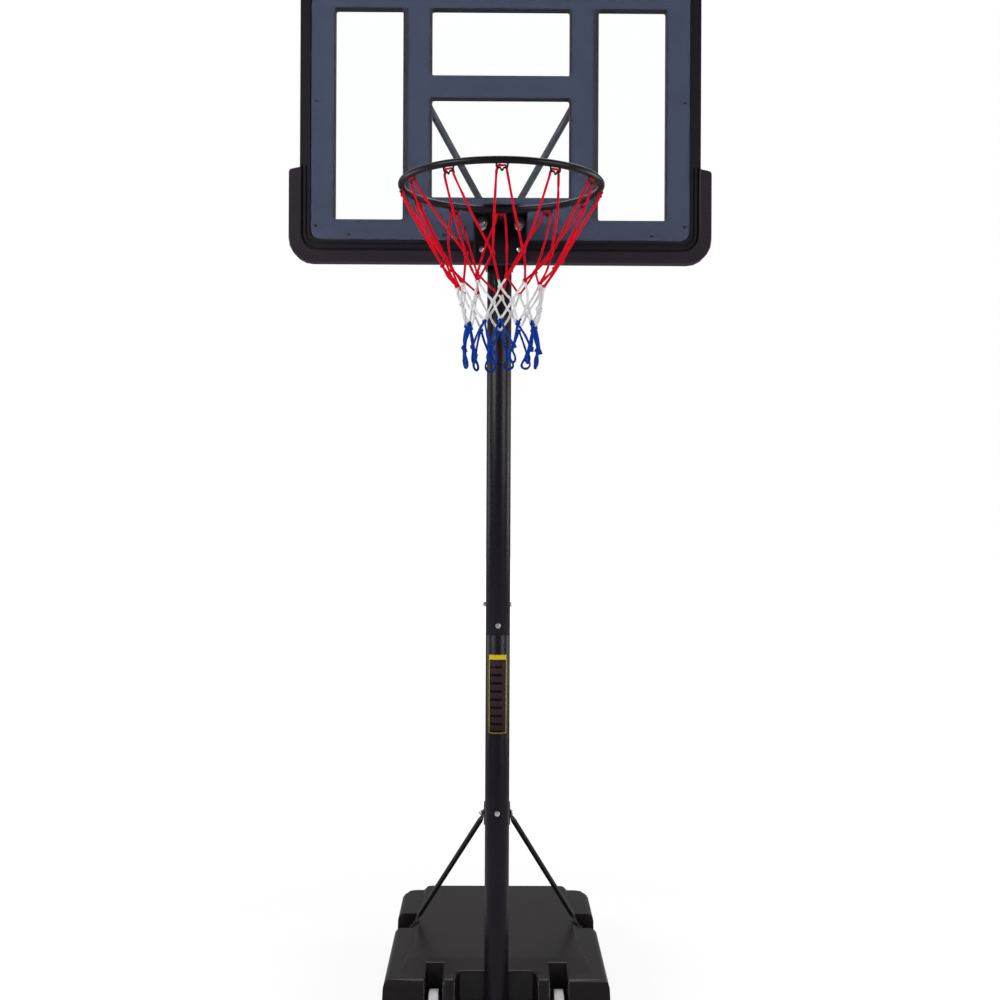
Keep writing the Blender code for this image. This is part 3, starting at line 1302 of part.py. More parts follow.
def net():
    """Knotted twine: diamonds between rows of knots, with a drop-shaped loop at each lowest knot."""
    centre = Vector((0, RING_Y, RING_Z))
    shape = bmesh.new()
    made = {}

    def knot(turn, drop, radius):
        key = (round(turn % HOOKS, 4), drop)
        if key not in made:
            made[key] = shape.verts.new(net_point(centre, turn, drop, radius))
        return made[key]

    arc = 2 * math.pi * RING_R / HOOKS
    over = HOOK_HALF * 0.3 / arc
    past = (HOOK_HALF + NET_TWINE) / arc
    first, second, third, fourth, fifth = NET_KNOTS
    knot_half = NET_TWINE / (2 * math.pi * fifth[1] / HOOKS)
    loop_half = NET_LOOP_HALF / (2 * math.pi * NET_LOOP_R / HOOKS)
    inside = RING_R - HOOK_WIRE_R - NET_TWINE
    for k in range(HOOKS):
        shape.faces.new([
            knot(k - over, NET_TOP_DROP, RING_R),
            knot(k - past, NET_TOP_DROP + 0.003, inside),
            knot(k - 0.35, *NET_BEND),
            knot(k - 0.5, *first),
            knot(k, *second),
            knot(k + 0.5, *first),
            knot(k + 0.35, *NET_BEND),
            knot(k + past, NET_TOP_DROP + 0.003, inside),
            knot(k + over, NET_TOP_DROP, RING_R),
        ])
        shape.faces.new([knot(k + 0.5, *first), knot(k, *second),
                         knot(k + 0.5, *third), knot(k + 1, *second)])
        shape.faces.new([knot(k, *second), knot(k - 0.5, *third), knot(k, *fourth), knot(k + 0.5, *third)])
        low = (knot(k + 0.5 - knot_half, *fifth), knot(k + 0.5 + knot_half, *fifth))
        shape.faces.new([knot(k + 0.5, *third), knot(k, *fourth), *low, knot(k + 1, *fourth)])
        middle = (fifth[0] + NET_LOOP_DROP) / 2 + 0.006
        loop = [
            knot(k + 0.5 + loop_half, middle, NET_LOOP_R),
            knot(k + 0.5 + loop_half * 0.5, NET_LOOP_DROP, NET_LOOP_R),
            knot(k + 0.5 - loop_half * 0.5, NET_LOOP_DROP, NET_LOOP_R),
            knot(k + 0.5 - loop_half, middle, NET_LOOP_R),
        ]
        shape.faces.new([low[1], low[0], *reversed(loop)])
    bmesh.ops.recalc_face_normals(shape, faces=shape.faces)
    obj = from_bmesh("net", shape, TWINE)
    wire = obj.modifiers.new("twine", "WIREFRAME")
    wire.thickness = NET_TWINE
    wire.use_replace = True
    wire.use_boundary = True
    wire.use_even_offset = True
    wire.use_relative_offset = False
    wire.offset = 0
    return obj


def axis_empty(name, location):
    empty = bpy.data.objects.new(name, None)
    empty.location = location
    empty.empty_display_size = 0.05
    PARTS.objects.link(empty)
    return empty


def group_by_motion():
    """Parent what rises with the upper pole, and what tips with the rim, to empties on their axes."""
    bpy.context.view_layer.update()
    slide = axis_empty("height_axis", (0, POLE_Y, SEAM_Z))
    tilt = axis_empty("rim_axis", (0, HINGE_Y, RIM_PLATE_BOTTOM_Z))
    tilt.parent = slide
    bpy.context.view_layer.update()
    tilting = ("rim_bracket", "rim_ring", "net")
    fixed = ("base_tank", "wheel", "filler", "lower_pole", "inner_pole", "pole_foot", "pole_sleeve_lower",
             "strut", "bracket_")
    for obj in list(PARTS.objects):
        if obj.type == "EMPTY" or obj.name.startswith(fixed):
            continue
        obj.parent = tilt if obj.name in tilting else slide
        obj.matrix_parent_inverse = obj.parent.matrix_world.inverted()


clear_scene()
PARTS = new_collection("basketball_stand")
CUTTERS = new_collection("cutters")
BLOWN_PLASTIC = finish("blown_plastic", (0.045, 0.042, 0.043), 0.45)
MOULDED_PLASTIC = finish("moulded_plastic", (0.035, 0.033, 0.040), 0.40)
SMOOTH_PLASTIC = finish("smooth_plastic", (0.02, 0.02, 0.02), 0.35)
PALE_PLASTIC = finish("pale_plastic", (0.72, 0.71, 0.68), 0.5)
COATED_STEEL = finish("coated_steel", (0.018, 0.016, 0.020), 0.35, 0.0)
GALVANISED = finish("galvanised_steel", (0.55, 0.56, 0.57), 0.35, 1.0)
ZINC = finish("zinc_plated_steel", (0.70, 0.70, 0.72), 0.28, 1.0)
SPRING_STEEL = finish("spring_steel", (0.75, 0.75, 0.77), 0.20, 1.0)
CLEAR_SHEET = finish("clear_sheet", (0.95, 0.97, 1.0), 0.05, 0.0, 0.15)
SLATE_PRINT = finish("slate_print", (0.048, 0.062, 0.098), 0.5)
TWINE = finish("twine", (0.60, 0.03, 0.06), 0.8)
base()
wheels()
lower_pole()
struts()
upper_pole()
board()
bumper()
arms()
v_bars()
rim_plates()
rim_bolts()
rim_springs()
rim_ring()
net()
group_by_motion()
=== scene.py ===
"""Looks of the portable basketball stand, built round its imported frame.

The frame gives every piece its place. Each sub-assembly is a class: its fields are sizes in metres,
its build method makes finer meshes than the frame's solids and dresses them, and every piece rides
on the body that its solid belongs to. The rim faces -Y, +X is to the right of someone facing the
board, and Z is up from the floor.
"""

import logging
import math
import random
from abc import ABC, abstractmethod
from collections.abc import Iterable, Sequence
from dataclasses import dataclass
from enum import Enum
from functools import cache

import bmesh
import bpy
from mathutils import Matrix, Vector, noise


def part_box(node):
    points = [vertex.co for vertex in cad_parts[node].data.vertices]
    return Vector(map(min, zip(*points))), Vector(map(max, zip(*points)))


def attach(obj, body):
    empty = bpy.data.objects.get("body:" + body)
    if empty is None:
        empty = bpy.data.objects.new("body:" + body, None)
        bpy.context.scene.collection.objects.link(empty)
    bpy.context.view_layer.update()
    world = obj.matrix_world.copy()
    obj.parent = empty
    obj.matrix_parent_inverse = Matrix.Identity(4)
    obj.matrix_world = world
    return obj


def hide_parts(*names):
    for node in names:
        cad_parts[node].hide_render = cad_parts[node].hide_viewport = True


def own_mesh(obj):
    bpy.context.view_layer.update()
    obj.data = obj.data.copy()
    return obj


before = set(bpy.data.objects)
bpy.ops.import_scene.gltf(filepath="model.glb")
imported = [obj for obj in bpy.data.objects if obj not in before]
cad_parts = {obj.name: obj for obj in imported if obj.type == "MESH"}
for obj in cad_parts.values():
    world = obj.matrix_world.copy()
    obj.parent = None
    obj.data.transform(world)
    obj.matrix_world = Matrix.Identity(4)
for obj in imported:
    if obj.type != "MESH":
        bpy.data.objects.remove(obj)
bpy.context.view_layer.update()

log = logging.getLogger("basketball_stand")

FULL_TURN = 2 * math.pi
MERGE_DISTANCE = 0.00001
CLEARANCE = 0.0003
SIDES = (("left", -1), ("right", 1))
TWINE_UV = "along_the_twine"
LABEL_UV = "label_metres"
RIGHT = Vector((1, 0, 0))
BACK = Vector((0, 1, 0))
UP = Vector((0, 0, 1))

Colour = tuple[float, float, float]
Path = list[Vector]
TubeEnd = tuple[Vector, Vector, float]


class Body(str, Enum):
    """The bodies that pieces ride on."""

    BASE = "base"
    HEAD = "head"
    RIM = "rim"
    LEFT_WHEEL = "left_wheel"
    RIGHT_WHEEL = "right_wheel"
    CAP = "cap"
    CLAMP = "clamp"


def shade(red: int, green: int, blue: int) -> Colour:
    """Turn a display colour into the linear one that a shader takes.

    Args:
        red: Red, 0 to 255.
        green: Green, 0 to 255.
        blue: Blue, 0 to 255.

    Returns:
        The three linear values, 0 to 1.
    """
    return tuple(((value / 255 + 0.055) / 1.055) ** 2.4 for value in (red, green, blue))


def toned(colour: Colour, factor: float, lift: float = 0.0) -> Colour:
    """A colour made deeper or paler by a factor, with a little added."""
    return tuple(value * factor + lift for value in colour)


class Graph:
    """The node tree of a material or world, with short calls that add its nodes."""

    def __init__(self, owner: bpy.types.Material | bpy.types.World, shader: str, place: str) -> None:
        """Start on a new material or world.

        Args:
            owner: The material or world.
            shader: The name of the shader node that it starts with.
            place: The coordinates that its patterns lie on.
        """
        owner.use_nodes = True
        self.tree = owner.node_tree
        self.shader = self.tree.nodes[shader]
        self.place = self.add("ShaderNodeTexCoord").outputs[place]

    def set(self, socket: bpy.types.NodeSocket, value: object) -> None:
        """Link a socket or give it a value.

        Args:
            socket: The input to set.
            value: The socket that feeds it, or its value, where three numbers may be a colour.
        """
        if isinstance(value, bpy.types.NodeSocket):
            self.tree.links.new(value, socket)
        elif isinstance(value, tuple) and len(value) == 3 and socket.type == "RGBA":
            socket.default_value = (*value, 1.0)
        else:
            socket.default_value = value

    def add(self, kind: str, inputs: dict | None = None, **settings: object) -> bpy.types.Node:
        """Add a node.

        Args:
            kind: The node's type.
            inputs: Socket names or numbers, each with a value or with the socket that feeds it.
            settings: The node's own properties.

        Returns:
            The new node.
        """
        node = self.tree.nodes.new(kind)
        for key, value in settings.items():
            setattr(node, key, value)
        for key, value in (inputs or {}).items():
            self.set(node.inputs[key], value)
        return node

    def feed(self, **values: object) -> None:
        """Set or link the shader's sockets, with underscores for the spaces in their names."""
        for key, value in values.items():
            self.set(self.shader.inputs[key.replace("_", " ")], value)

    def grain(self, scale: float, detail: float = 3, stretch: Colour = (1, 1, 1)) -> bpy.types.NodeSocket:
        """Noise over the piece.

        Args:
            scale: Features per metre.
            detail: Octaves of finer noise.
            stretch: Scale of each axis on top of that.

        Returns:
            The noise, about 0.3 to 0.7.
        """
        place = self.add("ShaderNodeMapping", {"Vector": self.place, "Scale": stretch}).outputs[0]
        inputs = {"Vector": place, "Scale": scale, "Detail": detail}
        return self.add("ShaderNodeTexNoise", inputs).outputs["Fac"]

    def between(
        self, value: bpy.types.NodeSocket, low: float, high: float, start: float = 0.3, end: float = 0.7
    ) -> bpy.types.NodeSocket:
        """Spread a value from one range to another, cut off at both ends."""
        inputs = {"Value": value, "From Min": start, "From Max": end, "To Min": low, "To Max": high}
        return self.add("ShaderNodeMapRange", inputs).outputs["Result"]

    def mixed(self, amount: object, first: object, second: object) -> bpy.types.NodeSocket:
        """A colour between two, each given as a colour or as a socket."""
        return self.add("ShaderNodeMix", {0: amount, 6: first, 7: second}, data_type="RGBA").outputs[2]

    def sum(self, first: object, second: object, operation: str = "ADD") -> bpy.types.NodeSocket:
        """Join two numbers with an arithmetic operation."""
        return self.add("ShaderNodeMath", {0: first, 1: second}, operation=operation).outputs[0]

    def reshaped(self, value: bpy.types.NodeSocket, operation: str) -> bpy.types.NodeSocket:
        """Put one number through an arithmetic operation."""
        return self.add("ShaderNodeMath", {0: value}, operation=operation).outputs[0]

    def parts(self, place: bpy.types.NodeSocket) -> bpy.types.NodeOutputs:
        """The X, Y and Z of a place, by those names."""
        return self.add("ShaderNodeSeparateXYZ", {0: place}).outputs

    def cells(self, size: float, **settings: object) -> bpy.types.NodeOutputs:
        """A pattern of cells of a size in metres over the piece."""
        return self.add("ShaderNodeTexVoronoi", {"Vector": self.place, "Scale": 1 / size}, **settings).outputs

    def seen(self) -> bpy.types.NodeSocket:
        """1 for the rays that show a background as it is, seen straight or through the clear sheet."""
        rays = self.add("ShaderNodeLightPath").outputs
        return self.sum(rays["Is Camera Ray"], rays["Is Transmission Ray"], "MAXIMUM")

    def cover(self, share: bpy.types.NodeSocket, other: bpy.types.NodeSocket) -> None:
        """Mix another shader over the tree's own, by a share, as what it gives out.

        Args:
            share: How much of the other shader shows, 0 to 1.
            other: The other shader's output.
        """
        mixed = self.add("ShaderNodeMixShader", {0: share, 1: self.shader.outputs[0], 2: other})
        output = next(node for node in self.tree.nodes if node.type.startswith("OUTPUT"))
        self.tree.links.new(mixed.outputs[0], output.inputs["Surface"])

    def relief(self, height: bpy.types.NodeSocket, depth: float) -> None:
        """Add a bump to the shader's normal.

        Args:
            height: The relief, whose step of 1 is the whole depth.
            depth: Its depth in metres.
        """
        normal = self.shader.inputs["Normal"]
        inputs = {"Height": height, "Distance": depth, "Strength": 1.0}
        if normal.links:
            inputs["Normal"] = normal.links[0].from_socket
        self.tree.links.new(self.add("ShaderNodeBump", inputs).outputs["Normal"], normal)


@dataclass(frozen=True)
class Finish(ABC):
    """A surface: its material's name, and the record's slot that it belongs to."""

    name: str
    slot: str | None

    @abstractmethod
    def paint(self, graph: Graph) -> None:
        """Build the finish on a new material's shader."""


@cache
def material(finish: Finish) -> bpy.types.Material:
    """The material of a finish, made once, with its patterns on Object coordinates.

    Args:
        finish: The finish.

    Returns:
        The same material each time.
    """
    made = bpy.data.materials.new(finish.name)
    finish.paint(Graph(made, "Principled BSDF", "Object"))
    return made


@dataclass(frozen=True)
class PowderCoat(Finish):
    """Black powder coat on steel: semi-gloss, with a fine orange peel and faint dust."""

    colour: Colour
    roughness: float = 0.38
    gloss: float = 0.2
    peel: float = 0.000012

    def paint(self, graph: Graph) -> None:
        """Darken and dull the coat a little in broad patches, and ripple it finely.

        Args:
            graph: The new material's nodes.
        """
        patches = graph.between(graph.grain(7, 4), 0, 1)
        graph.feed(
            Base_Color=graph.mixed(patches, self.colour, toned(self.colour, 1.25, 0.002)),
            Roughness=graph.between(graph.grain(160, 2), self.roughness - 0.05, self.roughness + 0.07),
            Specular_IOR_Level=self.gloss,
        )
        graph.relief(graph.grain(650, 2), self.peel)


@dataclass(frozen=True)
class MouldedPlastic(Finish):
    """Moulded plastic: a fine grain, soft mottling and rubbed streaks."""

    colour: Colour
    roughness: float = 0.45
    grain_size: float = 0.0009
    grain_depth: float = 0.00002
    gloss: float = 0.35
    scuffs: float = 0.4

    def paint(self, graph: Graph) -> None:
        """Mottle the colour, draw pale rub marks, and emboss the grain.

        Args:
            graph: The new material's nodes.
        """
        mottle = graph.between(graph.grain(9, 5), 0, 1)
        streaks = graph.grain(16, 6, (1, 9, 3))
        marks = graph.between(streaks, 0, self.scuffs, 0.6, 0.78)
        body = graph.mixed(mottle, toned(self.colour, 0.82), self.colour)
        graph.feed(
            Base_Color=graph.mixed(marks, body, toned(self.colour, 1.3, 0.001)),
            Roughness=graph.between(graph.grain(60, 4), self.roughness - 0.015, self.roughness + 0.02),
            Specular_IOR_Level=self.gloss,
        )
        graph.relief(graph.cells(self.grain_size, feature="SMOOTH_F1")["Distance"], self.grain_depth)
        graph.relief(graph.grain(22, 1), self.grain_depth * 4)


@dataclass(frozen=True)
class PlatedSteel(Finish):
    """Bare or plated steel: bright metal with fine clouds, and cells of spangle where it has them."""

    colour: Colour
    roughness: float = 0.25
    spangle: float = 0.0

    def paint(self, graph: Graph) -> None:
        """Vary tint and gloss, and add the spangle where there is one.

        Args:
            graph: The new material's nodes.
        """
        cloud = graph.between(graph.grain(120), 0, 1)
        duller = toned(self.colour, 0.78)
        colour = graph.mixed(cloud, duller, self.colour)
        rough = graph.between(graph.grain(420, 2), self.roughness - 0.06, self.roughness + 0.1)
        if self.spangle:
            tone = graph.add("ShaderNodeSeparateColor", {0: graph.cells(self.spangle)["Color"]}).outputs[0]
            colour = graph.mixed(graph.sum(tone, 0.5, "MULTIPLY"), colour, duller)
            rough = graph.sum(rough, graph.sum(tone, 0.12, "MULTIPLY"))
        graph.feed(Base_Color=colour, Roughness=rough, Metallic=1.0)
        graph.relief(graph.grain(900, 2), 0.000006)


@dataclass(frozen=True)
class ClearSheet(Finish):
    """Clear polycarbonate, with a very faint haze and hairline marks."""

    def paint(self, graph: Graph) -> None:
        """Let light through, and show it to shadow rays as plain clear film.

        Args:
            graph: The new material's nodes.
        """
        hairlines = graph.grain(30, 8, (1, 1, 14))
        graph.feed(
            Base_Color=(0.99, 0.995, 1.0),
            Roughness=graph.between(hairlines, 0.015, 0.07, 0.55, 0.8),
            Transmission_Weight=1.0,
            IOR=1.08,
            Specular_IOR_Level=0.5,
        )
        clear = graph.add("ShaderNodeBsdfTransparent", {"Color": (0.97, 0.98, 1.0)})
        graph.cover(graph.add("ShaderNodeLightPath").outputs["Is Shadow Ray"], clear.outputs[0])


@dataclass(frozen=True)
class PrintedFilm(Finish):
    """The board's printed border: flat ink with faint clouds and specks, behind the clear sheet."""

    colour: Colour

    def paint(self, graph: Graph) -> None:
        """Shade the ink very slightly in patches and specks.

        Args:
            graph: The new material's nodes.
        """
        cloud = graph.between(graph.grain(3, 4), 0, 1)
        specks = graph.between(graph.grain(1500, 1), 0, 0.25, 0.5, 0.75)
        ink = graph.mixed(cloud, toned(self.colour, 0.92), self.colour)
        graph.feed(
            Base_Color=graph.mixed(specks, ink, toned(self.colour, 1.3)),
            Roughness=graph.between(graph.grain(45), 0.34, 0.5),
            Specular_IOR_Level=0.06,
        )


@dataclass(frozen=True)
class BandedTwine(Finish):
    """Braided twine dyed in bands: one colour above a height, one in the middle, one at the bottom."""

    upper: Colour
    middle: Colour
    lower: Colour
    upper_ends: float
    middle_ends: float
    fade: float = 0.0015
    plait: float = 0.0055
    strands: float = 6

    def paint(self, graph: Graph) -> None:
        """Change colour with height, raggedly, plait along each strand's own UV, and paint shade in the
        valleys.

        Args:
            graph: The new material's nodes.
        """
        ragged = graph.between(graph.grain(60), -0.006, 0.006)
        height = graph.sum(graph.parts(graph.place)["Z"], ragged)
        dye = self.lower
        for ends, colour in ((self.middle_ends, self.middle), (self.upper_ends, self.upper)):
            above = graph.between(height, 0, 1, ends - self.fade, ends + self.fade)
            dye = graph.mixed(above, dye, colour)
        uv = graph.parts(graph.add("ShaderNodeUVMap", uv_map=TWINE_UV).outputs["UV"])
        along = graph.sum(uv["X"], FULL_TURN / self.plait, "MULTIPLY")
        around = graph.sum(uv["Y"], self.strands / 2 * FULL_TURN, "MULTIPLY")
        ways = [graph.reshaped(graph.sum(along, around, way), "SINE") for way in ("ADD", "SUBTRACT")]
        ridges = graph.sum(*ways, "MAXIMUM")
        # Painted shade: the valleys between the plait's ridges are darkened towards black.
        valley_painted_shade = graph.between(ridges, 0.4, 0, -0.6, 0.4)
        fibres = graph.grain(2600, 2)
        graph.feed(
            Base_Color=graph.mixed(valley_painted_shade, dye, graph.mixed(0.4, dye, (0.01, 0.01, 0.012))),
            Roughness=graph.between(fibres, 0.7, 0.95),
            Sheen_Weight=0.03,
            Sheen_Roughness=0.4,
            Specular_IOR_Level=0.1,
        )
        graph.relief(ridges, 0.00035)
        graph.relief(fibres, 0.00005)


@dataclass(frozen=True)
class ScaleLabel(Finish):
    """A vinyl strip with a coloured head and edge, and plain darker bars on a dark ground."""

    edge: Colour
    ground: Colour
    bar: Colour
    low: float
    high: float
    half_turn: float
    head: float = 0.0137
    border: float = 0.0017
    bars: int = 9
    bar_share: float = 0.3

    def paint(self, graph: Graph) -> None:
        """Lay border, head and bars by the strip's own UV, which is in metres.

        Args:
            graph: The new material's nodes.
        """
        uv = graph.parts(graph.add("ShaderNodeUVMap", uv_map=LABEL_UV).outputs["UV"])
        across, height = uv["X"], uv["Y"]
        length = self.high - self.low
        side = graph.sum(graph.reshaped(across, "ABSOLUTE"), self.half_turn - self.border, "GREATER_THAN")
        foot = graph.sum(height, self.border, "LESS_THAN")
        head = graph.sum(height, length - self.head, "GREATER_THAN")
        bordered = graph.sum(graph.sum(side, foot, "MAXIMUM"), head, "MAXIMUM")
        pitch = (length - self.head - self.border) / self.bars
        step = graph.sum(graph.sum(height, pitch, "DIVIDE"), 1.0, "MODULO")
        line = graph.sum(step, self.bar_share, "LESS_THAN")
        left = graph.sum(across, self.half_turn * 0.5, "LESS_THAN")
        inset = graph.sum(across, -self.half_turn + self.border * 2.2, "GREATER_THAN")
        barred = graph.sum(graph.sum(line, left, "MULTIPLY"), inset, "MULTIPLY")
        colour = graph.mixed(bordered, graph.mixed(barred, self.ground, self.bar), self.edge)
        worn = graph.between(graph.grain(90, 5), 0, 0.35, 0.6, 0.85)
        graph.feed(
            Base_Color=graph.mixed(worn, colour, toned(self.ground, 0.6)),
            Roughness=graph.between(graph.grain(200, 2), 0.5, 0.62),
            Specular_IOR_Level=0.1,
        )


@dataclass(frozen=True)
class Backdrop(Finish):
    """The plain pale floor: white to the camera, with the object's shadow on it."""

    colour: Colour = (0.6, 0.6, 0.6)
    near: float = 1.6
    far: float = 6.0
    lift: float = 0.62
    white: float = 1.3

    def paint(self, graph: Graph) -> None:
        """Mix the lit floor with plain white, all of it far away, for the rays that show a background.

        Args:
            graph: The new material's nodes.
        """
        speckle = graph.between(graph.grain(40), 0, 1)
        tint = graph.mixed(speckle, toned(self.colour, 0.98), self.colour)
        graph.feed(Base_Color=tint, Roughness=0.9, Specular_IOR_Level=0.1)
        away = graph.add("ShaderNodeVectorMath", {0: graph.place}, operation="LENGTH").outputs["Value"]
        share = graph.between(away, self.lift, 1.0, self.near, self.far)
        white = graph.add("ShaderNodeEmission", {"Color": (1, 1, 1), "Strength": self.white})
        graph.cover(graph.sum(graph.seen(), share, "MULTIPLY"), white.outputs[0])


COATED = PowderCoat("black_powder_coat", "coated_steel", shade(21, 17, 24), 0.32)
# The V bars' coat is painted paler than the black coat of the other steel, as a painted reflection of the
# clear sheet in front of them.
V_BAR_COAT_PAINTED_PALE = PowderCoat("coat_with_painted_sheet_reflection", "coated_steel", shade(58, 61, 66), 0.42)
TANK_PLASTIC = MouldedPlastic(
    "blown_tank_plastic", "blown_plastic", shade(24, 18, 22), 0.36, 0.0014, 0.000002
)
FRAME_PLASTIC = MouldedPlastic(
    "board_frame_plastic", "moulded_plastic", shade(27, 24, 31), 0.42, 0.0009, 0.000002, 0.22
)
BUMPER_PLASTIC = MouldedPlastic(
    "bumper_plastic", "moulded_plastic", shade(43, 37, 46), 0.4, 0.0009, 0.000002, 0.22
)
TRIM_PLASTIC = MouldedPlastic(
    "black_trim_plastic", "smooth_plastic", shade(20, 17, 21), 0.35, 0.0006, 0.00001
)
WHEEL_PLASTIC = MouldedPlastic(
    "wheel_plastic", "pale_plastic", shade(206, 203, 206), 0.45, 0.0008, 0.00001
)
ZINC = PlatedSteel("zinc_plate", "zinc_plated_steel", shade(240, 240, 244), 0.3)
BLACK_ZINC = PlatedSteel("black_zinc_plate", "zinc_plated_steel", shade(52, 51, 54), 0.38)
CHROME = PlatedSteel("bright_spring_steel", "spring_steel", shade(240, 240, 244), 0.22)
GALVANISED = PlatedSteel("galvanised_tube", "galvanised_steel", shade(190, 193, 196), 0.34, 0.006)
SHEET = ClearSheet("clear_board_sheet", "clear_sheet")
SLATE = PrintedFilm("slate_border_ink", "slate_print", shade(44, 49, 63))


def add_piece(
    name: str,
    shape: bmesh.types.BMesh,
    finish: Finish,
    body: Body,
    replaced: Iterable[str] = (),
    crease: float = 38,
    flat_faces: bool = False,
) -> bpy.types.Object:
    """Turn a shape into a piece that rides on a body.

    Args:
        name: The piece's name.
        shape: Its finished mesh, in place. It is freed.
        finish: Its surface.
        body: The body that it rides on.
        replaced: The frame's nodes that it stands for.
        crease: Edges sharper than this many degrees stay sharp to the light.
        flat_faces: Whether its large faces stay flat to the light beside their rounded edges.

    Returns:
        The new object, at the origin.
    """
    mesh = bpy.data.meshes.new(name)
    shape.to_mesh(mesh)
    shape.free()
    mesh.materials.append(material(finish))
    mesh.shade_smooth()
    mesh.set_sharp_from_angle(angle=math.radians(crease))
    piece = bpy.data.objects.new(name, mesh)
    bpy.context.scene.collection.objects.link(piece)
    if flat_faces:
        weighted = piece.modifiers.new("flat_faces", "WEIGHTED_NORMAL")
        weighted.keep_sharp = True
    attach(piece, body.value)
    replaced = list(replaced)
    if replaced:
        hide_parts(*replaced)
    log.info("%s: %d faces on %s", name, len(mesh.polygons), body.value)
    return piece


def cleaned(shape: bmesh.types.BMesh) -> bmesh.types.BMesh:
    """Merge doubled vertices, then turn every face outwards.

    Args:
        shape: The shape to clean.

    Returns:
        The same shape.
    """
    bmesh.ops.remove_doubles(shape, verts=shape.verts, dist=MERGE_DISTANCE)
    bmesh.ops.recalc_face_normals(shape, faces=shape.faces)
    return shape


def standing(axis: Vector, centre: Vector) -> Matrix:
    """The matrix that turns local Z to an axis and moves the origin to a centre."""
    turn = UP.rotation_difference(Vector(axis)).to_matrix().to_4x4()
    return Matrix.Translation(centre) @ turn


def absorb(target: bmesh.types.BMesh, other: bmesh.types.BMesh, matrix: Matrix | None = None) -> None:
    """Add another shape to a target and free it.

    Args:
        target: The shape that grows.
        other: The shape that is added.
        matrix: Where the other one goes, if it isn't in place.
    """
    if matrix is not None:
        bmesh.ops.transform(other, matrix=matrix, verts=other.verts)
    passed = bpy.data.meshes.new("passed")
    other.to_mesh(passed)
    other.free()
    target.from_mesh(passed)
    bpy.data.meshes.remove(passed)


def lathe(
    profile: Sequence[tuple[float, float]],
    steps: int = 64,
    axis: Vector = UP,
    centre: Vector = Vector(),
    ring: bool = False,
) -> bmesh.types.BMesh:
    """Turn a profile round an axis.

    Args:
        profile: (radius, height) points.
        steps: How many faces go round.
        axis: Which way the profile's heights run.
        centre: Where height zero of the axis is.
        ring: Whether the profile closes on itself.

    Returns:
        The closed shape.
    """
    shape = bmesh.new()
    points = [shape.verts.new((radius, 0, height)) for radius, height in profile]
    pairs = list(zip(points, points[1:]))
    if ring:
        pairs.append((points[-1], points[0]))
    edges = [shape.edges.new(pair) for pair in pairs]
    bmesh.ops.spin(
        shape,
        geom=points + edges,
        cent=(0, 0, 0),
        axis=UP,
        dvec=(0, 0, 0),
        angle=FULL_TURN,
        steps=steps,
        use_merge=True,
        use_normal_flip=False,
        use_duplicate=False,
    )
    bmesh.ops.transform(shape, matrix=standing(axis, centre), verts=shape.verts)
    return cleaned(shape)


def sharp_edges(shape: bmesh.types.BMesh, angle: float) -> list[bmesh.types.BMEdge]:
    """The edges whose two faces meet at more than an angle in degrees."""
    limit = math.radians(angle)
    return [edge for edge in shape.edges if len(edge.link_faces) == 2 and edge.calc_face_angle() > limit]


def soften(
    shape: bmesh.types.BMesh,
    width: float,
    segments: int = 2,
    angle: float = 30,
    edges: Sequence[bmesh.types.BMEdge] | None = None,
) -> bmesh.types.BMesh:
    """Round a shape's edges.

    Args:
        shape: The shape to round.
        width: How far the rounding reaches to each side.
        segments: Faces across the rounding.
        angle: Edges sharper than this many degrees are rounded, where no edges are given.
        edges: The edges to round.

    Returns:
        The same shape.
    """
    chosen = sharp_edges(shape, angle) if edges is None else list(edges)
    bmesh.ops.bevel(
        shape,
        geom=chosen,
        offset=width,
        offset_type="OFFSET",
        segments=segments,
        profile=0.5,
        affect="EDGES",
        clamp_overlap=True,
        material=-1,
    )
    return shape


def block(size: tuple[float, float, float], edge: float, segments: int = 2) -> bmesh.types.BMesh:
    """A small block with rounded edges round the origin.

    Args:
        size: Its length along each axis.
        edge: How far its rounding reaches.
        segments: Faces across the rounding.

    Returns:
        The block.
    """
    shape = bmesh.new()
    bmesh.ops.create_cube(shape, size=1.0)
    bmesh.ops.scale(shape, vec=size, verts=shape.verts)
    return soften(shape, edge, segments)


def quarter(steps: int) -> list[tuple[float, float]]:
    """The cosine and sine of even steps from 0 to 90 degrees, both ends included."""
    return [(math.cos(a), math.sin(a)) for a in (math.pi / 2 * k / steps for k in range(steps + 1))]


def copied(node: str, flatten: float = 1.0) -> bmesh.types.BMesh:
    """A merged copy of a frame node, with its flat faces whole again.

    Args:
        node: The node's name.
        flatten: Faces that meet at less than this many degrees become one.

    Returns:
        The copy, in place.
    """
    shape = bmesh.new()
    shape.from_mesh(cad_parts[node].data)
    bmesh.ops.remove_doubles(shape, verts=shape.verts, dist=MERGE_DISTANCE)
    bmesh.ops.dissolve_limit(
        shape,
        angle_limit=math.radians(flatten),
        use_dissolve_boundaries=False,
        verts=shape.verts,
        edges=shape.edges,
        delimit=set(),
    )
    return shape


def rounded_path(corners: Sequence[Vector], per_span: int = 6, closed: bool = False) -> Path:
    """A smooth path through its corners.

    Args:
        corners: The points that it passes through.
        per_span: Points made between each two corners.
        closed: Whether it comes back to its start.

    Returns:
        The path's points.
    """
    count = len(corners)
    spans = count if closed else count - 1
    path = []
    for i in range(spans):
        if closed:
            before, first, second, after = (corners[(i + k - 1) % count] for k in range(4))
        else:
            first, second = corners[i], corners[i + 1]
            before = corners[i - 1] if i else first * 2 - second
            after = corners[i + 2] if i + 2 < count else second * 2 - first
        for k in range(per_span):
            t = k / per_span
            path.append(
                0.5
                * (
                    2 * first
                    + (second - before) * t
                    + (2 * before - 5 * first + 4 * second - after) * t**2
                    + (3 * first - before - 3 * second + after) * t**3
                )
            )
    if not closed:
        path.append(Vector(corners[-1]))
    return path


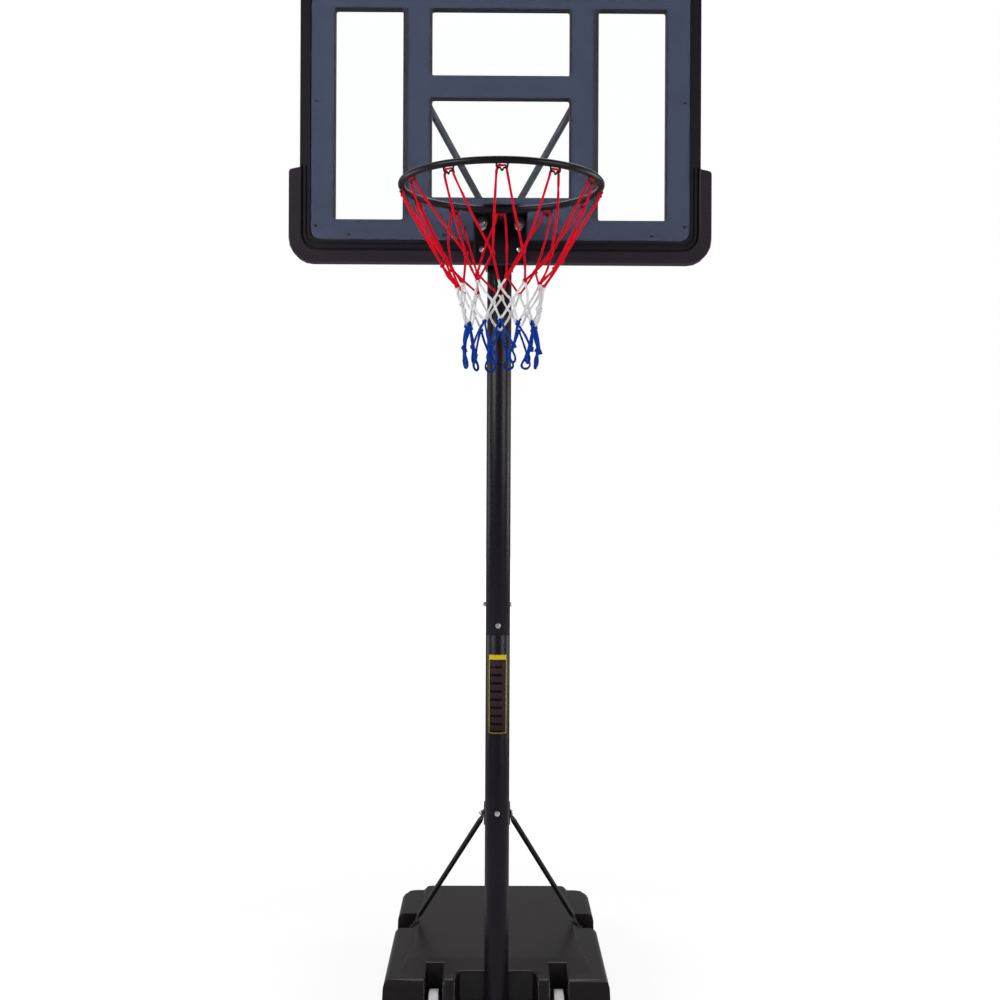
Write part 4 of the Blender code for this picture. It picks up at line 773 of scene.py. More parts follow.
def wires(
    paths: Sequence[Path],
    radius: float,
    roundness: int = 2,
    closed: bool = False,
    swell: Sequence[float] | None = None,
    uneven: float = 0.0,
) -> bmesh.types.BMesh:
    """Round wire along each path, with a UV that runs along it in metres and once round it.

    Args:
        paths: The centre lines.
        radius: The wire's radius.
        roundness: Steps in a quarter turn, less one.
        closed: Whether each path is a loop.
        swell: The radius at each point as a share of the whole, for a bead or a taper.
        uneven: How far the radius strays by chance, as a share of the whole.

    Returns:
        The closed tubes as one shape.
    """
    joined = bmesh.new()
    for path in paths:
        curve = bpy.data.curves.new("wire", "CURVE")
        curve.dimensions = "3D"
        curve.bevel_depth = radius
        curve.bevel_resolution = roundness
        curve.use_fill_caps = not closed
        spline = curve.splines.new("POLY")
        spline.points.add(len(path) - 1)
        for k, (point, place) in enumerate(zip(spline.points, path)):
            point.co = (*place, 1)
            point.radius = (swell[k] if swell else 1.0) * (1 + uneven * noise.noise(place / 0.011))
        spline.use_cyclic_u = closed
        holder = bpy.data.objects.new("wire", curve)
        bpy.context.scene.collection.objects.link(holder)
        graph = bpy.context.evaluated_depsgraph_get()
        mesh = bpy.data.meshes.new_from_object(holder.evaluated_get(graph))
        bpy.data.objects.remove(holder)
        bpy.data.curves.remove(curve)
        unroll(mesh, path, 4 * (roundness + 1), closed)
        joined.from_mesh(mesh)
        bpy.data.meshes.remove(mesh)
    return joined


def unroll(mesh: bpy.types.Mesh, path: Path, around: int, closed: bool) -> None:
    """Write a tube's UV: metres along its path, and turns round it.

    Args:
        mesh: The tube, whose vertices go round the path's first point, then its second, and so on.
        path: Its centre line.
        around: Vertices in each ring.
        closed: Whether the path is a loop.
    """
    for old in list(mesh.uv_layers):
        mesh.uv_layers.remove(old)
    layer = mesh.uv_layers.new(name=TWINE_UV)
    distance = [0.0]
    for here, there in zip(path, path[1:]):
        distance.append(distance[-1] + (there - here).length)
    total = distance[-1] + ((path[0] - path[-1]).length if closed else 0)
    rings = len(path)
    for face in mesh.polygons:
        marks = [divmod(mesh.loops[k].vertex_index, around) for k in face.loop_indices]
        last_span = closed and {ring for ring, _ in marks} == {0, rings - 1}
        wraps = {turn for _, turn in marks} == {0, around - 1}
        for k, (ring, turn) in zip(face.loop_indices, marks):
            along = total if last_span and ring == 0 else distance[min(ring, rings - 1)]
            turned = 1.0 if wraps and turn == 0 else turn / around
            layer.data[k].uv = (along, turned)


def centre_of(node: str) -> Vector:
    """The middle of a node's box."""
    low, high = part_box(node)
    return (low + high) / 2


def half_size(node: str) -> Vector:
    """From the middle of a node's box to its highest corner."""
    low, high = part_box(node)
    return (high - low) / 2


@dataclass(frozen=True)
class Thread:
    """A bolt size: its shank and the head and nut that go with it."""

    shank: float
    head: float
    head_height: float
    nut: float
    nut_height: float

    def bolt(self, length: float, hexagonal: bool = False) -> bmesh.types.BMesh:
        """A bolt whose head stands on local zero and whose shank runs down from it.

        Args:
            length: From the seat to the shank's end.
            hexagonal: Whether the head is a hexagon with a washer face, not a plain dome.

        Returns:
            The bolt.
        """
        shape = self.hex_head() if hexagonal else self.dome_head()
        absorb(shape, self.shank_rod(length))
        return shape

    def dome_head(self) -> bmesh.types.BMesh:
        """A low dome with a small rim, on local zero.

        Returns:
            The head.
        """
        rim = self.head_height * 0.28
        dome = [(self.head * c, rim + (self.head_height - rim) * s) for c, s in quarter(8)]
        return lathe([(0, 0), (self.head * 0.97, 0), (self.head, rim * 0.3), *dome], 40)

    def hex_head(self) -> bmesh.types.BMesh:
        """A hexagonal head with rounded corners on a washer face, which stands on local zero.

        Returns:
            The head.
        """
        face, top = self.head_height * 0.16, self.head_height
        shape = lathe([(0, face), (self.head, face), (self.head, top), (0, top)], 6)
        soften(shape, self.head * 0.09, 2, 50)
        washer = self.head * 0.99
        absorb(shape, lathe([(0, 0), (washer, 0), (washer, face), (0, face)], 40))
        return shape

    def shank_rod(self, length: float, pitch: float = 0.00125) -> bmesh.types.BMesh:
        """A rod with turned thread ridges at its end.

        Args:
            length: How far below local zero it ends. It starts a little above, inside the head.
            pitch: From one ridge to the next.

        Returns:
            The rod.
        """
        plain, core, top = self.shank * 0.97, self.shank * 0.86, self.head_height * 0.3
        height = -length + min(length * 0.6, 0.03)
        points = [(0, top), (plain, top), (plain, height)]
        while height > -length + pitch:
            points.append((core, height - pitch / 2))
            points.append((self.shank * 0.99, height - pitch))
            height -= pitch
        points += [(core * 0.9, -length), (0, -length)]
        return lathe(points, 24)

    def nut_ring(self) -> bmesh.types.BMesh:
        """A hexagonal nut that stands on local zero, with rounded corners and a bore.

        Returns:
            The nut.
        """
        bore, across, tall = self.shank + 0.0001, self.nut, self.nut_height
        shape = bmesh.new()
        bmesh.ops.create_cone(shape, cap_ends=True, segments=6, radius1=across, radius2=across, depth=tall)
        bmesh.ops.translate(shape, vec=(0, 0, tall / 2), verts=shape.verts)
        caps = [face for face in shape.faces if abs(face.normal.z) > 0.9]
        bmesh.ops.inset_region(shape, faces=caps, thickness=across * 0.866 - bore * 0.92, depth=0)
        flat = [face for face in shape.faces if abs(face.normal.z) > 0.9]
        centre = [face for face in flat if face.calc_center_median().xy.length < bore / 3]
        bmesh.ops.bridge_loops(shape, edges=[e for face in centre for e in face.edges])
        bmesh.ops.delete(shape, geom=centre, context="FACES_ONLY")
        soften(shape, across * 0.07, 2, 50)
        return cleaned(shape)


M8 = Thread(0.004, 0.0076, 0.0046, 0.0074, 0.0064)
M10 = Thread(0.005, 0.0095, 0.00575, 0.00925, 0.008)


@dataclass
class Fasteners:
    """Every bolt and nut, each finer than its solid and in the same place."""

    hexagonal: tuple[str, ...] = (
        "clamp_screw",
        "bracket_bolt",
        "rim_bolt_upper_left",
        "rim_bolt_upper_right",
    )
    bolt_end_proud: float = 0.002
    bolt_end_set_back: float = 0.005
    washer_play: float = 0.0004
    foot_bolt_length: float = 0.028

    def build(self) -> None:
        """Make the cross bolts, the rim's bolts, the board's screws and the strut feet's bolts."""
        left, front = -RIGHT, -BACK
        self.bolt("strut_bolt", M8, RIGHT, Body.BASE)
        self.bolt("bracket_bolt", M8, front, Body.BASE)
        self.nut("strut_nut", M8, left, Body.BASE)
        self.nut("bracket_nut", M8, BACK, Body.BASE)
        for name in ("arm", "v_bar"):
            self.bolt(f"{name}_bolt", M8, RIGHT, Body.HEAD)
            self.nut(f"{name}_nut", M8, left, Body.HEAD)
        self.bolt("height_bolt_head", M8, RIGHT, Body.HEAD)
        self.height_bolt_end()
        self.bolt("clamp_screw", M8, front, Body.CLAMP)
        for side, _ in SIDES:
            self.bolt(f"rim_bolt_upper_{side}", M10, front, Body.HEAD)
            self.bolt(f"rim_bolt_lower_{side}", M8, front, Body.HEAD)
            self.nut(f"rim_nut_upper_{side}", M10, BACK, Body.HEAD)
            self.nut(f"rim_nut_lower_{side}", M8, BACK, Body.HEAD)
            self.bolt(f"v_bar_screw_{side}", M8, BACK, Body.HEAD)
            self.washer(f"rim_washer_{side}")
            self.foot_bolt(side)

    def fit(
        self,
        node: str,
        shape: bmesh.types.BMesh,
        axis: Vector,
        seat: Vector,
        body: Body,
        suffix: str = "turned",
        finish: Finish = ZINC,
    ) -> None:
        """Put a fastener in its solid's place.

        Args:
            node: The solid that it replaces.
            shape: The fastener, on local zero.
            axis: Where its local Z points.
            seat: Where its local zero goes.
            body: The body that it rides on.
            suffix: What its name adds to the node's.
            finish: Its surface.
        """
        bmesh.ops.transform(shape, matrix=standing(axis, seat), verts=shape.verts)
        add_piece(f"{node}_{suffix}", shape, finish, body, [node], 30)

    def bolt(self, node: str, size: Thread, axis: Vector, body: Body) -> None:
        """Replace a bolt.

        Args:
            node: Its solid.
            size: Its thread.
            axis: Where its head points.
            body: The body that it rides on.
        """
        low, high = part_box(node)
        inner, outer = sorted((low.dot(axis), high.dot(axis)))
        centre = (low + high) / 2
        seat = centre + axis * (outer - size.head_height - centre.dot(axis))
        shape = size.bolt(outer - inner - size.head_height, node in self.hexagonal)
        self.fit(node, shape, axis, seat, body)

    def nut(self, node: str, size: Thread, axis: Vector, body: Body) -> None:
        """Replace a nut.

        Args:
            node: Its solid.
            size: Its thread.
            axis: From its seat to its free side.
            body: The body that it rides on.
        """
        low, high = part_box(node)
        centre = (low + high) / 2
        seat = centre + axis * (min(low.dot(axis), high.dot(axis)) - centre.dot(axis))
        self.fit(node, size.nut_ring(), axis, seat, body, "faced")

    def height_bolt_end(self) -> None:
        """Replace the nut end of the height bolt: a nut with the bolt's end in it."""
        node = "height_bolt_nut"
        low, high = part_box(node)
        length = high.x - low.x
        shape = M8.nut_ring()
        absorb(shape, M8.shank_rod(length), Matrix.Translation((0, 0, length - self.bolt_end_set_back)))
        seat = Vector((low.x + M8.nut_height + self.bolt_end_proud, centre_of(node).y, centre_of(node).z))
        self.fit(node, shape, -RIGHT, seat, Body.HEAD, "faced")

    def washer(self, node: str) -> None:
        """Replace a rim bolt's washer, with its edges rounded.

        Args:
            node: Its solid.
        """
        half, outer = half_size(node).y, half_size(node).x
        bore = M10.shank + self.washer_play
        profile = [(outer, half), (outer, -half), (bore, -half), (bore, half)]
        shape = lathe(profile, 48, BACK, centre_of(node), ring=True)
        soften(shape, half * 0.4, 2)
        add_piece(f"{node}_pressed", shape, CHROME, Body.HEAD, [node], 30)

    def foot_bolt(self, side: str) -> None:
        """Replace the bolt of a strut's foot, which leans with the strut.

        Args:
            side: Which strut it holds.
        """
        foot, normal = StrutPair().foot(dict(SIDES)[side])
        seat = foot + normal * (StrutPair.tab_thickness / 2 + CLEARANCE)
        shape = M8.bolt(self.foot_bolt_length)
        self.fit(f"strut_foot_bolt_{side}", shape, normal, seat, Body.BASE, finish=BLACK_ZINC)


@dataclass
class Pole:
    """The telescoping pole: two coated tubes, the inner tube between them, and their plastic trims."""

    radius: float = 0.035
    wall: float = 0.0018
    edge: float = 0.0006
    label_low: float = 0.897
    label_high: float = 1.121
    label_half: float = 0.0276
    label_lift: float = 0.00018
    label_film: float = 0.0001
    cap_height: float = 0.006
    cap_brim: float = 0.0015
    foot_edge: float = 0.001

    @property
    def plug(self) -> float:
        """The radius of a trim that pushes into a tube."""
        return self.radius - self.wall - CLEARANCE

    def build(self) -> None:
        """Make the tubes, sleeves, plug and cap, and the strip on the lower pole."""
        self.tube("lower_pole", Body.BASE)
        self.tube("upper_pole", Body.HEAD)
        shape = copied("inner_pole", 0.01)
        add_piece("inner_pole_drilled", shape, GALVANISED, Body.BASE, ["inner_pole"])
        for node, body in (("pole_sleeve_lower", Body.BASE), ("pole_sleeve_upper", Body.HEAD)):
            add_piece(f"{node}_moulded", copied(node, 0.01), TRIM_PLASTIC, body, [node])
        self.cap()
        self.foot()
        self.label()

    def tube(self, node: str, body: Body) -> None:
        """Replace one of the coated tubes with a rounder one of the same length.

        Args:
            node: Its solid.
            body: The body that it rides on.
        """
        low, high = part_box(node)
        bore = self.radius - self.wall
        profile = [(self.radius, high.z), (self.radius, low.z), (bore, low.z), (bore, high.z)]
        shape = lathe(profile, 96, centre=Vector((0, centre_of(node).y, 0)), ring=True)
        soften(shape, self.edge)
        add_piece(f"{node}_tube", shape, COATED, body, [node])

    def cap(self) -> None:
        """Replace the cap on the upper pole with a domed one."""
        low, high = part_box("pole_cap")
        seat = high.z - self.cap_height
        edge = seat + self.cap_brim
        crown = [(self.radius * c, edge + (high.z - edge) * s) for c, s in quarter(8)]
        profile = [(0, low.z), (self.plug, low.z), (self.plug, seat), (self.radius, seat), *crown]
        shape = lathe(profile, 64, centre=Vector((0, centre_of("pole_cap").y, 0)))
        add_piece("pole_cap_domed", shape, TRIM_PLASTIC, Body.HEAD, ["pole_cap"])

    def foot(self) -> None:
        """Replace the plug under the pole with one that has a rounded foot."""
        low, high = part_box("pole_foot_plug")
        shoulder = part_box("lower_pole")[0].z - CLEARANCE
        edge = self.foot_edge
        profile = [(0, low.z), (self.radius - edge, low.z), (self.radius, low.z + edge)]
        profile += [(self.radius, shoulder), (self.plug, shoulder), (self.plug, high.z), (0, high.z)]
        shape = lathe(profile, 64, centre=Vector((0, centre_of("lower_pole").y, 0)))
        soften(shape, edge, 3)
        add_piece("pole_foot_plug_moulded", shape, TRIM_PLASTIC, Body.BASE, ["pole_foot_plug"])

    def label(self) -> None:
        """Wrap a thin strip round the front of the lower pole, below the joint."""
        shape = bmesh.new()
        layer = shape.loops.layers.uv.new(LABEL_UV)
        height = self.label_high - self.label_low
        matrix = Matrix.Diagonal((self.label_half, height / 2, 1, 1))
        bmesh.ops.create_grid(shape, x_segments=24, y_segments=4, size=1.0, matrix=matrix)
        for face in shape.faces:
            for loop in face.loops:
                loop[layer].uv = (loop.vert.co.x, loop.vert.co.y + height / 2)
        reach = self.radius + self.label_lift
        pole_y = centre_of("lower_pole").y
        for vert in shape.verts:
            turn = vert.co.x / reach
            height_here = vert.co.y + (self.label_low + self.label_high) / 2
            vert.co = (reach * math.sin(turn), pole_y - reach * math.cos(turn), height_here)
        bmesh.ops.recalc_face_normals(shape, faces=shape.faces)
        colours = shade(214, 194, 40), shade(52, 38, 43), shade(6, 4, 5)
        span = self.label_low, self.label_high, self.label_half
        finish = ScaleLabel("pole_scale_strip", None, *colours, *span)
        piece = add_piece("pole_scale_strip", shape, finish, Body.BASE)
        film = piece.modifiers.new("film", "SOLIDIFY")
        film.thickness = self.label_film
        film.offset = 0


@dataclass
class Tank:
    """The ballast tank with its filler cap."""

    edge: float = 0.0035
    corner: float = 0.056
    waist: float = 0.050
    back_slope: float = 0.035
    draft: float = 0.005
    shoulder: float = 0.188
    corner_cuts: int = 8
    rise_cuts: int = 5
    cap_radius: float = 0.033
    cap_rise: float = 0.014
    cap_plug: float = 0.0228
    cap_lugs: int = 14
    lug_set_back: float = 0.002

    def build(self) -> None:
        """Round the tank's edges, and make a gripped filler cap."""
        shape = copied("base_tank", 0.5)
        for side in (-1, 1):
            self.round_back_corner(shape, side)
        soften(shape, self.edge, 3, 24)
        add_piece("ballast_tank", shape, TANK_PLASTIC, Body.BASE, ["base_tank"], 42, True)
        self.filler_cap()

    def round_back_corner(self, shape: bmesh.types.BMesh, side: int) -> None:
        """Round a back corner in plan: fully at the shoulder, and less towards the waist.

        Args:
            shape: The tank.
            side: -1 for the left corner, 1 for the right.
        """
        low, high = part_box("base_tank")
        inner_x = high.x - self.draft - self.corner
        inner_y = high.y - self.back_slope - self.corner
        rise = self.shoulder - self.waist
        steps = [self.corner * k / self.corner_cuts for k in range(self.corner_cuts + 1)]
        cuts = [(RIGHT * side * (inner_x + step), RIGHT * side) for step in steps]
        cuts += [(BACK * (inner_y + step), BACK) for step in steps]
        cuts += [(UP * (self.waist + rise * k / self.rise_cuts), UP) for k in range(self.rise_cuts)]
        for place, normal in cuts:
            near = [
                face
                for face in shape.faces
                if any(vert.co.x * side > inner_x and vert.co.y > inner_y for vert in face.verts)
            ]
            edges = dict.fromkeys(edge for face in near for edge in face.edges)
            verts = dict.fromkeys(vert for face in near for vert in face.verts)
            geom = [*near, *edges, *verts]
            bmesh.ops.bisect_plane(shape, geom=geom, dist=MERGE_DISTANCE, plane_co=place, plane_no=normal)
        for vert in shape.verts:
            x, y = vert.co.x * side, vert.co.y
            if x <= inner_x or y <= inner_y or vert.co.z <= self.waist:
                continue
            share = min(1.0, (vert.co.z - self.waist) / rise)
            wide = high.x - self.draft * vert.co.z / self.shoulder - inner_x
            long = high.y - self.back_slope * share - inner_y
            u, v = (x - inner_x) / wide, (y - inner_y) / long
            pull = 1 - share + share * max(u, v) / math.hypot(u, v)
            vert.co.x = side * (inner_x + u * wide * pull)
            vert.co.y = inner_y + v * long * pull

    def filler_cap(self) -> None:
        """A screw cap with lugs round its edge and a raised bar to turn it by."""
        low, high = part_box("filler_cap")
        centre = centre_of("filler_cap")
        seat = high.z - self.cap_rise
        radius, plug = self.cap_radius, self.cap_plug
        profile = [
            (0, low.z),
            (plug, low.z),
            (plug, seat),
            (radius - 0.002, seat),
            (radius - 0.001, seat + 0.009),
            (radius * 0.62, seat + 0.010),
            (radius * 0.60, seat + 0.006),
            (0, seat + 0.006),
        ]
        shape = lathe(profile, 64, centre=Vector((centre.x, centre.y, 0)))
        soften(shape, 0.0008, 2)
        lug_size, bar_size = (0.004, 0.006, 0.0086), (radius * 1.05, 0.006, 0.0078)
        out = Matrix.Translation((radius - self.lug_set_back, 0, 0.0044))
        for k in range(self.cap_lugs):
            turn = Matrix.Rotation(FULL_TURN * k / self.cap_lugs, 4, "Z")
            place = Matrix.Translation((centre.x, centre.y, seat)) @ turn @ out
            absorb(shape, block(lug_size, 0.0009), place)
        top = Matrix.Translation((centre.x, centre.y, high.z - bar_size[2] / 2))
        absorb(shape, block(bar_size, 0.0015, 3), top)
        add_piece("filler_cap_gripped", shape, TRIM_PLASTIC, Body.CAP, ["filler_cap"])


@dataclass
class Wheels:
    """The two moulded wheels and the axle between them."""

    ribs: int = 8
    rim_share: float = 0.82
    web: float = 0.004
    rib: float = 0.003
    boss: float = 0.016
    tread_half: float = 0.014
    slope: float = 0.002
    tread_edge: float = 0.003
    bore_play: float = 0.0004

    def build(self) -> None:
        """Make both wheels and the axle."""
        for (side, _), body in zip(SIDES, (Body.LEFT_WHEEL, Body.RIGHT_WHEEL)):
            self.wheel(side, body)
        half, radius = half_size("wheel_axle").x, half_size("wheel_axle").z
        profile = [(0, half), (radius, half), (radius, -half), (0, -half)]
        shape = lathe(profile, 32, RIGHT, centre_of("wheel_axle"))
        soften(shape, 0.0008, 2)
        add_piece("wheel_axle_turned", shape, ZINC, Body.BASE, ["wheel_axle"])

    def wheel(self, side: str, body: Body) -> None:
        """One wheel: hub, web with ribs on both faces, and a rim with a rounded tread.

        Args:
            side: Which of the two it is.
            body: The body that it rides on.
        """
        node = f"wheel_{side}"
        centre = centre_of(node)
        radius, hub = half_size(node).z, half_size(node).x
        half, slope = self.tread_half, self.slope
        bore = half_size("wheel_axle").z + self.bore_play
        rim = radius * self.rim_share
        outer = [(bore, hub), (self.boss, hub), (self.boss + slope, self.web), (rim - slope, self.web)]
        outer += [(rim, half), (radius - slope, half), (radius, half - self.tread_edge)]
        inner = [(reach, -height) for reach, height in reversed(outer)]
        shape = lathe([*outer, *inner], 96, RIGHT, centre, ring=True)
        soften(shape, 0.0012, 3, 35)
        size = (rim - self.boss, self.rib, half * 1.8)
        out = Matrix.Translation(((rim + self.boss) / 2, 0, 0))
        for k in range(self.ribs):
            turn = Matrix.Rotation(FULL_TURN * k / self.ribs, 4, "Z")
            absorb(shape, block(size, 0.0006), standing(RIGHT, centre) @ turn @ out)
        add_piece(f"{node}_moulded", shape, WHEEL_PLASTIC, body, [node])


@dataclass(frozen=True)
class Section:
    """An oval section of a pressed tube: its middle, its two directions and its half sizes."""

    place: Vector
    run: Vector
    normal: Vector
    wide: float
    thin: float


@dataclass(frozen=True)
class PressedTube:
    """A tube whose ends are pressed flat."""

    radius: float
    width: float
    thickness: float
    steps: int = 32
    tip_steps: int = 6
    neck_steps: int = 4
    neck_start: float = 0.003

    def end(self, point: Vector, normal: Vector, length: float, other: Vector) -> list[Section]:
        """The sections of one end, from its round tip to the full tube.

        Args:
            point: The middle of its bolt.
            normal: The direction that its flat faces.
            length: From the bolt to where the tube begins to open.
            other: The bolt at the far end.

        Returns:
            The sections in order.
        """
        run = other - point
        flat = (run - normal * run.dot(normal)).normalized()
        neck = point + flat * length
        towards = (other - neck).normalized()
        upright = (normal - towards * normal.dot(towards)).normalized()
        half, thin = self.width / 2, self.thickness / 2
        sections = [
            Section(point - flat * half * back, flat, normal, half * wide, thin)
            for back, wide in quarter(self.tip_steps)[1:]
        ]
        sections.append(Section(neck - flat * self.neck_start, flat, normal, half, thin))
        for k in range(self.neck_steps + 1):
            share = k / self.neck_steps
            ease = share * share * (3 - 2 * share)
            lean = (normal * (1 - ease) + upright * ease).normalized()
            sizes = (half + (self.radius - half) * ease, thin + (self.radius - thin) * ease)
            sections.append(Section(neck + towards * self.radius * 3 * share, towards, lean, *sizes))
        return sections

    def build(self, first: TubeEnd, last: TubeEnd) -> bmesh.types.BMesh:
        """Make the tube between two ends.

        Args:
            first: The first end's bolt point, the normal of its flat and the flat's length.
            last: The same of the last end.

        Returns:
            The closed tube.
        """
        sections = self.end(*first, last[0])
        for section in reversed(self.end(*last, first[0])):
            sections.append(Section(section.place, -section.run, section.normal, section.wide, section.thin))
        shape = bmesh.new()
        loops = []
        reference = None
        for section in sections:
            normal = section.normal
            across = normal.cross(section.run).normalized()
            if reference and across.dot(reference) < 0:
                across, normal = -across, -normal
            reference = across
            columns = (across * section.wide, normal * section.thin, across.cross(normal))
            matrix = Matrix.Translation(section.place) @ Matrix(columns).transposed().to_4x4()
            circle = {"cap_ends": False, "segments": self.steps, "radius": 1.0, "matrix": matrix}
            made = bmesh.ops.create_circle(shape, **circle)["verts"]
            loops.append(list(dict.fromkeys(edge for vert in made for edge in vert.link_edges)))
        for below, above in zip(loops, loops[1:]):
            bmesh.ops.bridge_loops(shape, edges=below + above)
        for rim in (loops[0], loops[-1]):
            bmesh.ops.edgeloop_fill(shape, edges=rim)
        return cleaned(shape)


@dataclass
class StrutPair:
    """The two struts from the lower pole to the tank, and the bracket that they bolt to."""

    radius: float = 0.008
    width: float = 0.022
    tab_thickness: float = 0.004
    foot_x: float = 0.275
    foot_back: float = 0.490
    foot_z: float = 0.166
    top_x: float = 0.0406
    top_tab: float = 0.016
    foot_tab: float = 0.068

    def foot(self, side: int) -> tuple[Vector, Vector]:
        """Where a strut's foot is bolted.

        Args:
            side: -1 for the left strut, 1 for the right.

        Returns:
            The bolt point, and the normal of the foot's flat.
        """
        bolt = centre_of("strut_bolt")
        lean = math.atan2(self.foot_x - self.top_x, bolt.z - self.foot_z)
        place = Vector((side * self.foot_x, centre_of("lower_pole").y + self.foot_back, self.foot_z))
        return place, Vector((side * math.cos(lean), 0, math.sin(lean)))

    def build(self) -> None:
        """Make both struts and the bracket."""
        bolt = centre_of("strut_bolt")
        for side, sign in SIDES:
            top = Vector((sign * self.top_x, bolt.y, bolt.z))
            tube = PressedTube(self.radius, self.width, self.tab_thickness)
            shape = tube.build((top, RIGHT * sign, self.top_tab), (*self.foot(sign), self.foot_tab))
            add_piece(f"strut_{side}_pressed", shape, COATED, Body.BASE, [f"strut_{side}"])
        shape = soften(copied("strut_bracket"), 0.0007, 2)
        add_piece("strut_bracket_bent", shape, COATED, Body.BASE, ["strut_bracket"])


@dataclass
class Supports:
    """The plate arms and the V bars that carry the board."""

    radius: float = 0.0095
    width: float = 0.025
    thickness: float = 0.004
    tab: float = 0.018
    pole_x: float = 0.0373

    def build(self) -> None:
        """Make the arms and both V bars."""
        low_bolt = centre_of("v_bar_bolt")
        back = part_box("board_frame")[1].y + CLEARANCE + self.thickness / 2
        for side, sign in SIDES:
            arm = soften(copied(f"arm_{side}"), 0.0006, 2)
            add_piece(f"arm_{side}_bent", arm, COATED, Body.HEAD, [f"arm_{side}"])
            screw = centre_of(f"v_bar_screw_{side}")
            low = Vector((sign * self.pole_x, low_bolt.y, low_bolt.z))
            high = Vector((screw.x, back, screw.z))
            tube = PressedTube(self.radius, self.width, self.thickness)
            shape = tube.build((low, RIGHT * sign, self.tab), (high, BACK, self.tab))
            add_piece(f"v_bar_{side}_pressed", shape, V_BAR_COAT_PAINTED_PALE, Body.HEAD, [f"v_bar_{side}"])


@dataclass
class Board:
    """The framed board: moulded frame, clear sheet, printed border, bumper and small screws."""

    edge: float = 0.0011
    screw_head: float = 0.0036
    screw_inset: float = 0.0125
    side_screws: tuple[float, ...] = (2.284, 2.612)
    foot_screws: tuple[float, ...] = (0.15, 0.40)
    top_screws: tuple[float, ...] = (0.0, 0.32)
    plate_screw: tuple[float, float] = (0.095, 2.278)

    def build(self) -> None:
        """Round the mouldings, dress sheet and print, and set the screws."""
        for node, finish in (("board_frame", FRAME_PLASTIC), ("bottom_bumper", BUMPER_PLASTIC)):
            shape = soften(copied(node, 0.5), self.edge, 2, 40)
            add_piece(f"{node}_moulded", shape, finish, Body.HEAD, [node], 35, True)
        for node, finish in (("board_sheet", SHEET), ("border_print", SLATE)):
            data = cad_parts[node].data
            data.materials.clear()
            data.materials.append(material(finish))
            log.info("%s: dressed", node)
        self.screws()

    def screws(self) -> None:
        """Small dark pan-head screws round the sheet's edge and beside the rim's plate."""
        low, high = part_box("board_sheet")
        side, foot, top = high.x - self.screw_inset, low.z + self.screw_inset, high.z - self.screw_inset
        places = [(sign * side, z) for _, sign in SIDES for z in (*self.side_screws, top)]
        places += [(sign * x, foot) for _, sign in SIDES for x in self.foot_screws]
        places += [(sign * self.plate_screw[0], self.plate_screw[1]) for _, sign in SIDES]
        places += [(sign * x, top) for _, sign in SIDES for x in self.top_screws]
        shape = bmesh.new()
        for x, z in dict.fromkeys(places):
            absorb(shape, self.pan_head(), standing(-BACK, Vector((x, low.y, z))))
        add_piece("sheet_screws", shape, TRIM_PLASTIC, Body.HEAD, crease=30)

    def pan_head(self) -> bmesh.types.BMesh:
        """A pan head on local zero, with a small round recess.

        Returns:
            The head.
        """
        radius = self.screw_head
        tall = radius * 0.55
        dome = [(radius * c, tall * (0.35 + 0.65 * s)) for c, s in quarter(6)[:-1]]
        recess = [(radius * 0.22, tall), (radius * 0.16, tall * 0.35), (0, tall * 0.3)]
        return lathe([(0, 0), (radius, 0), *dome, *recess], 24)


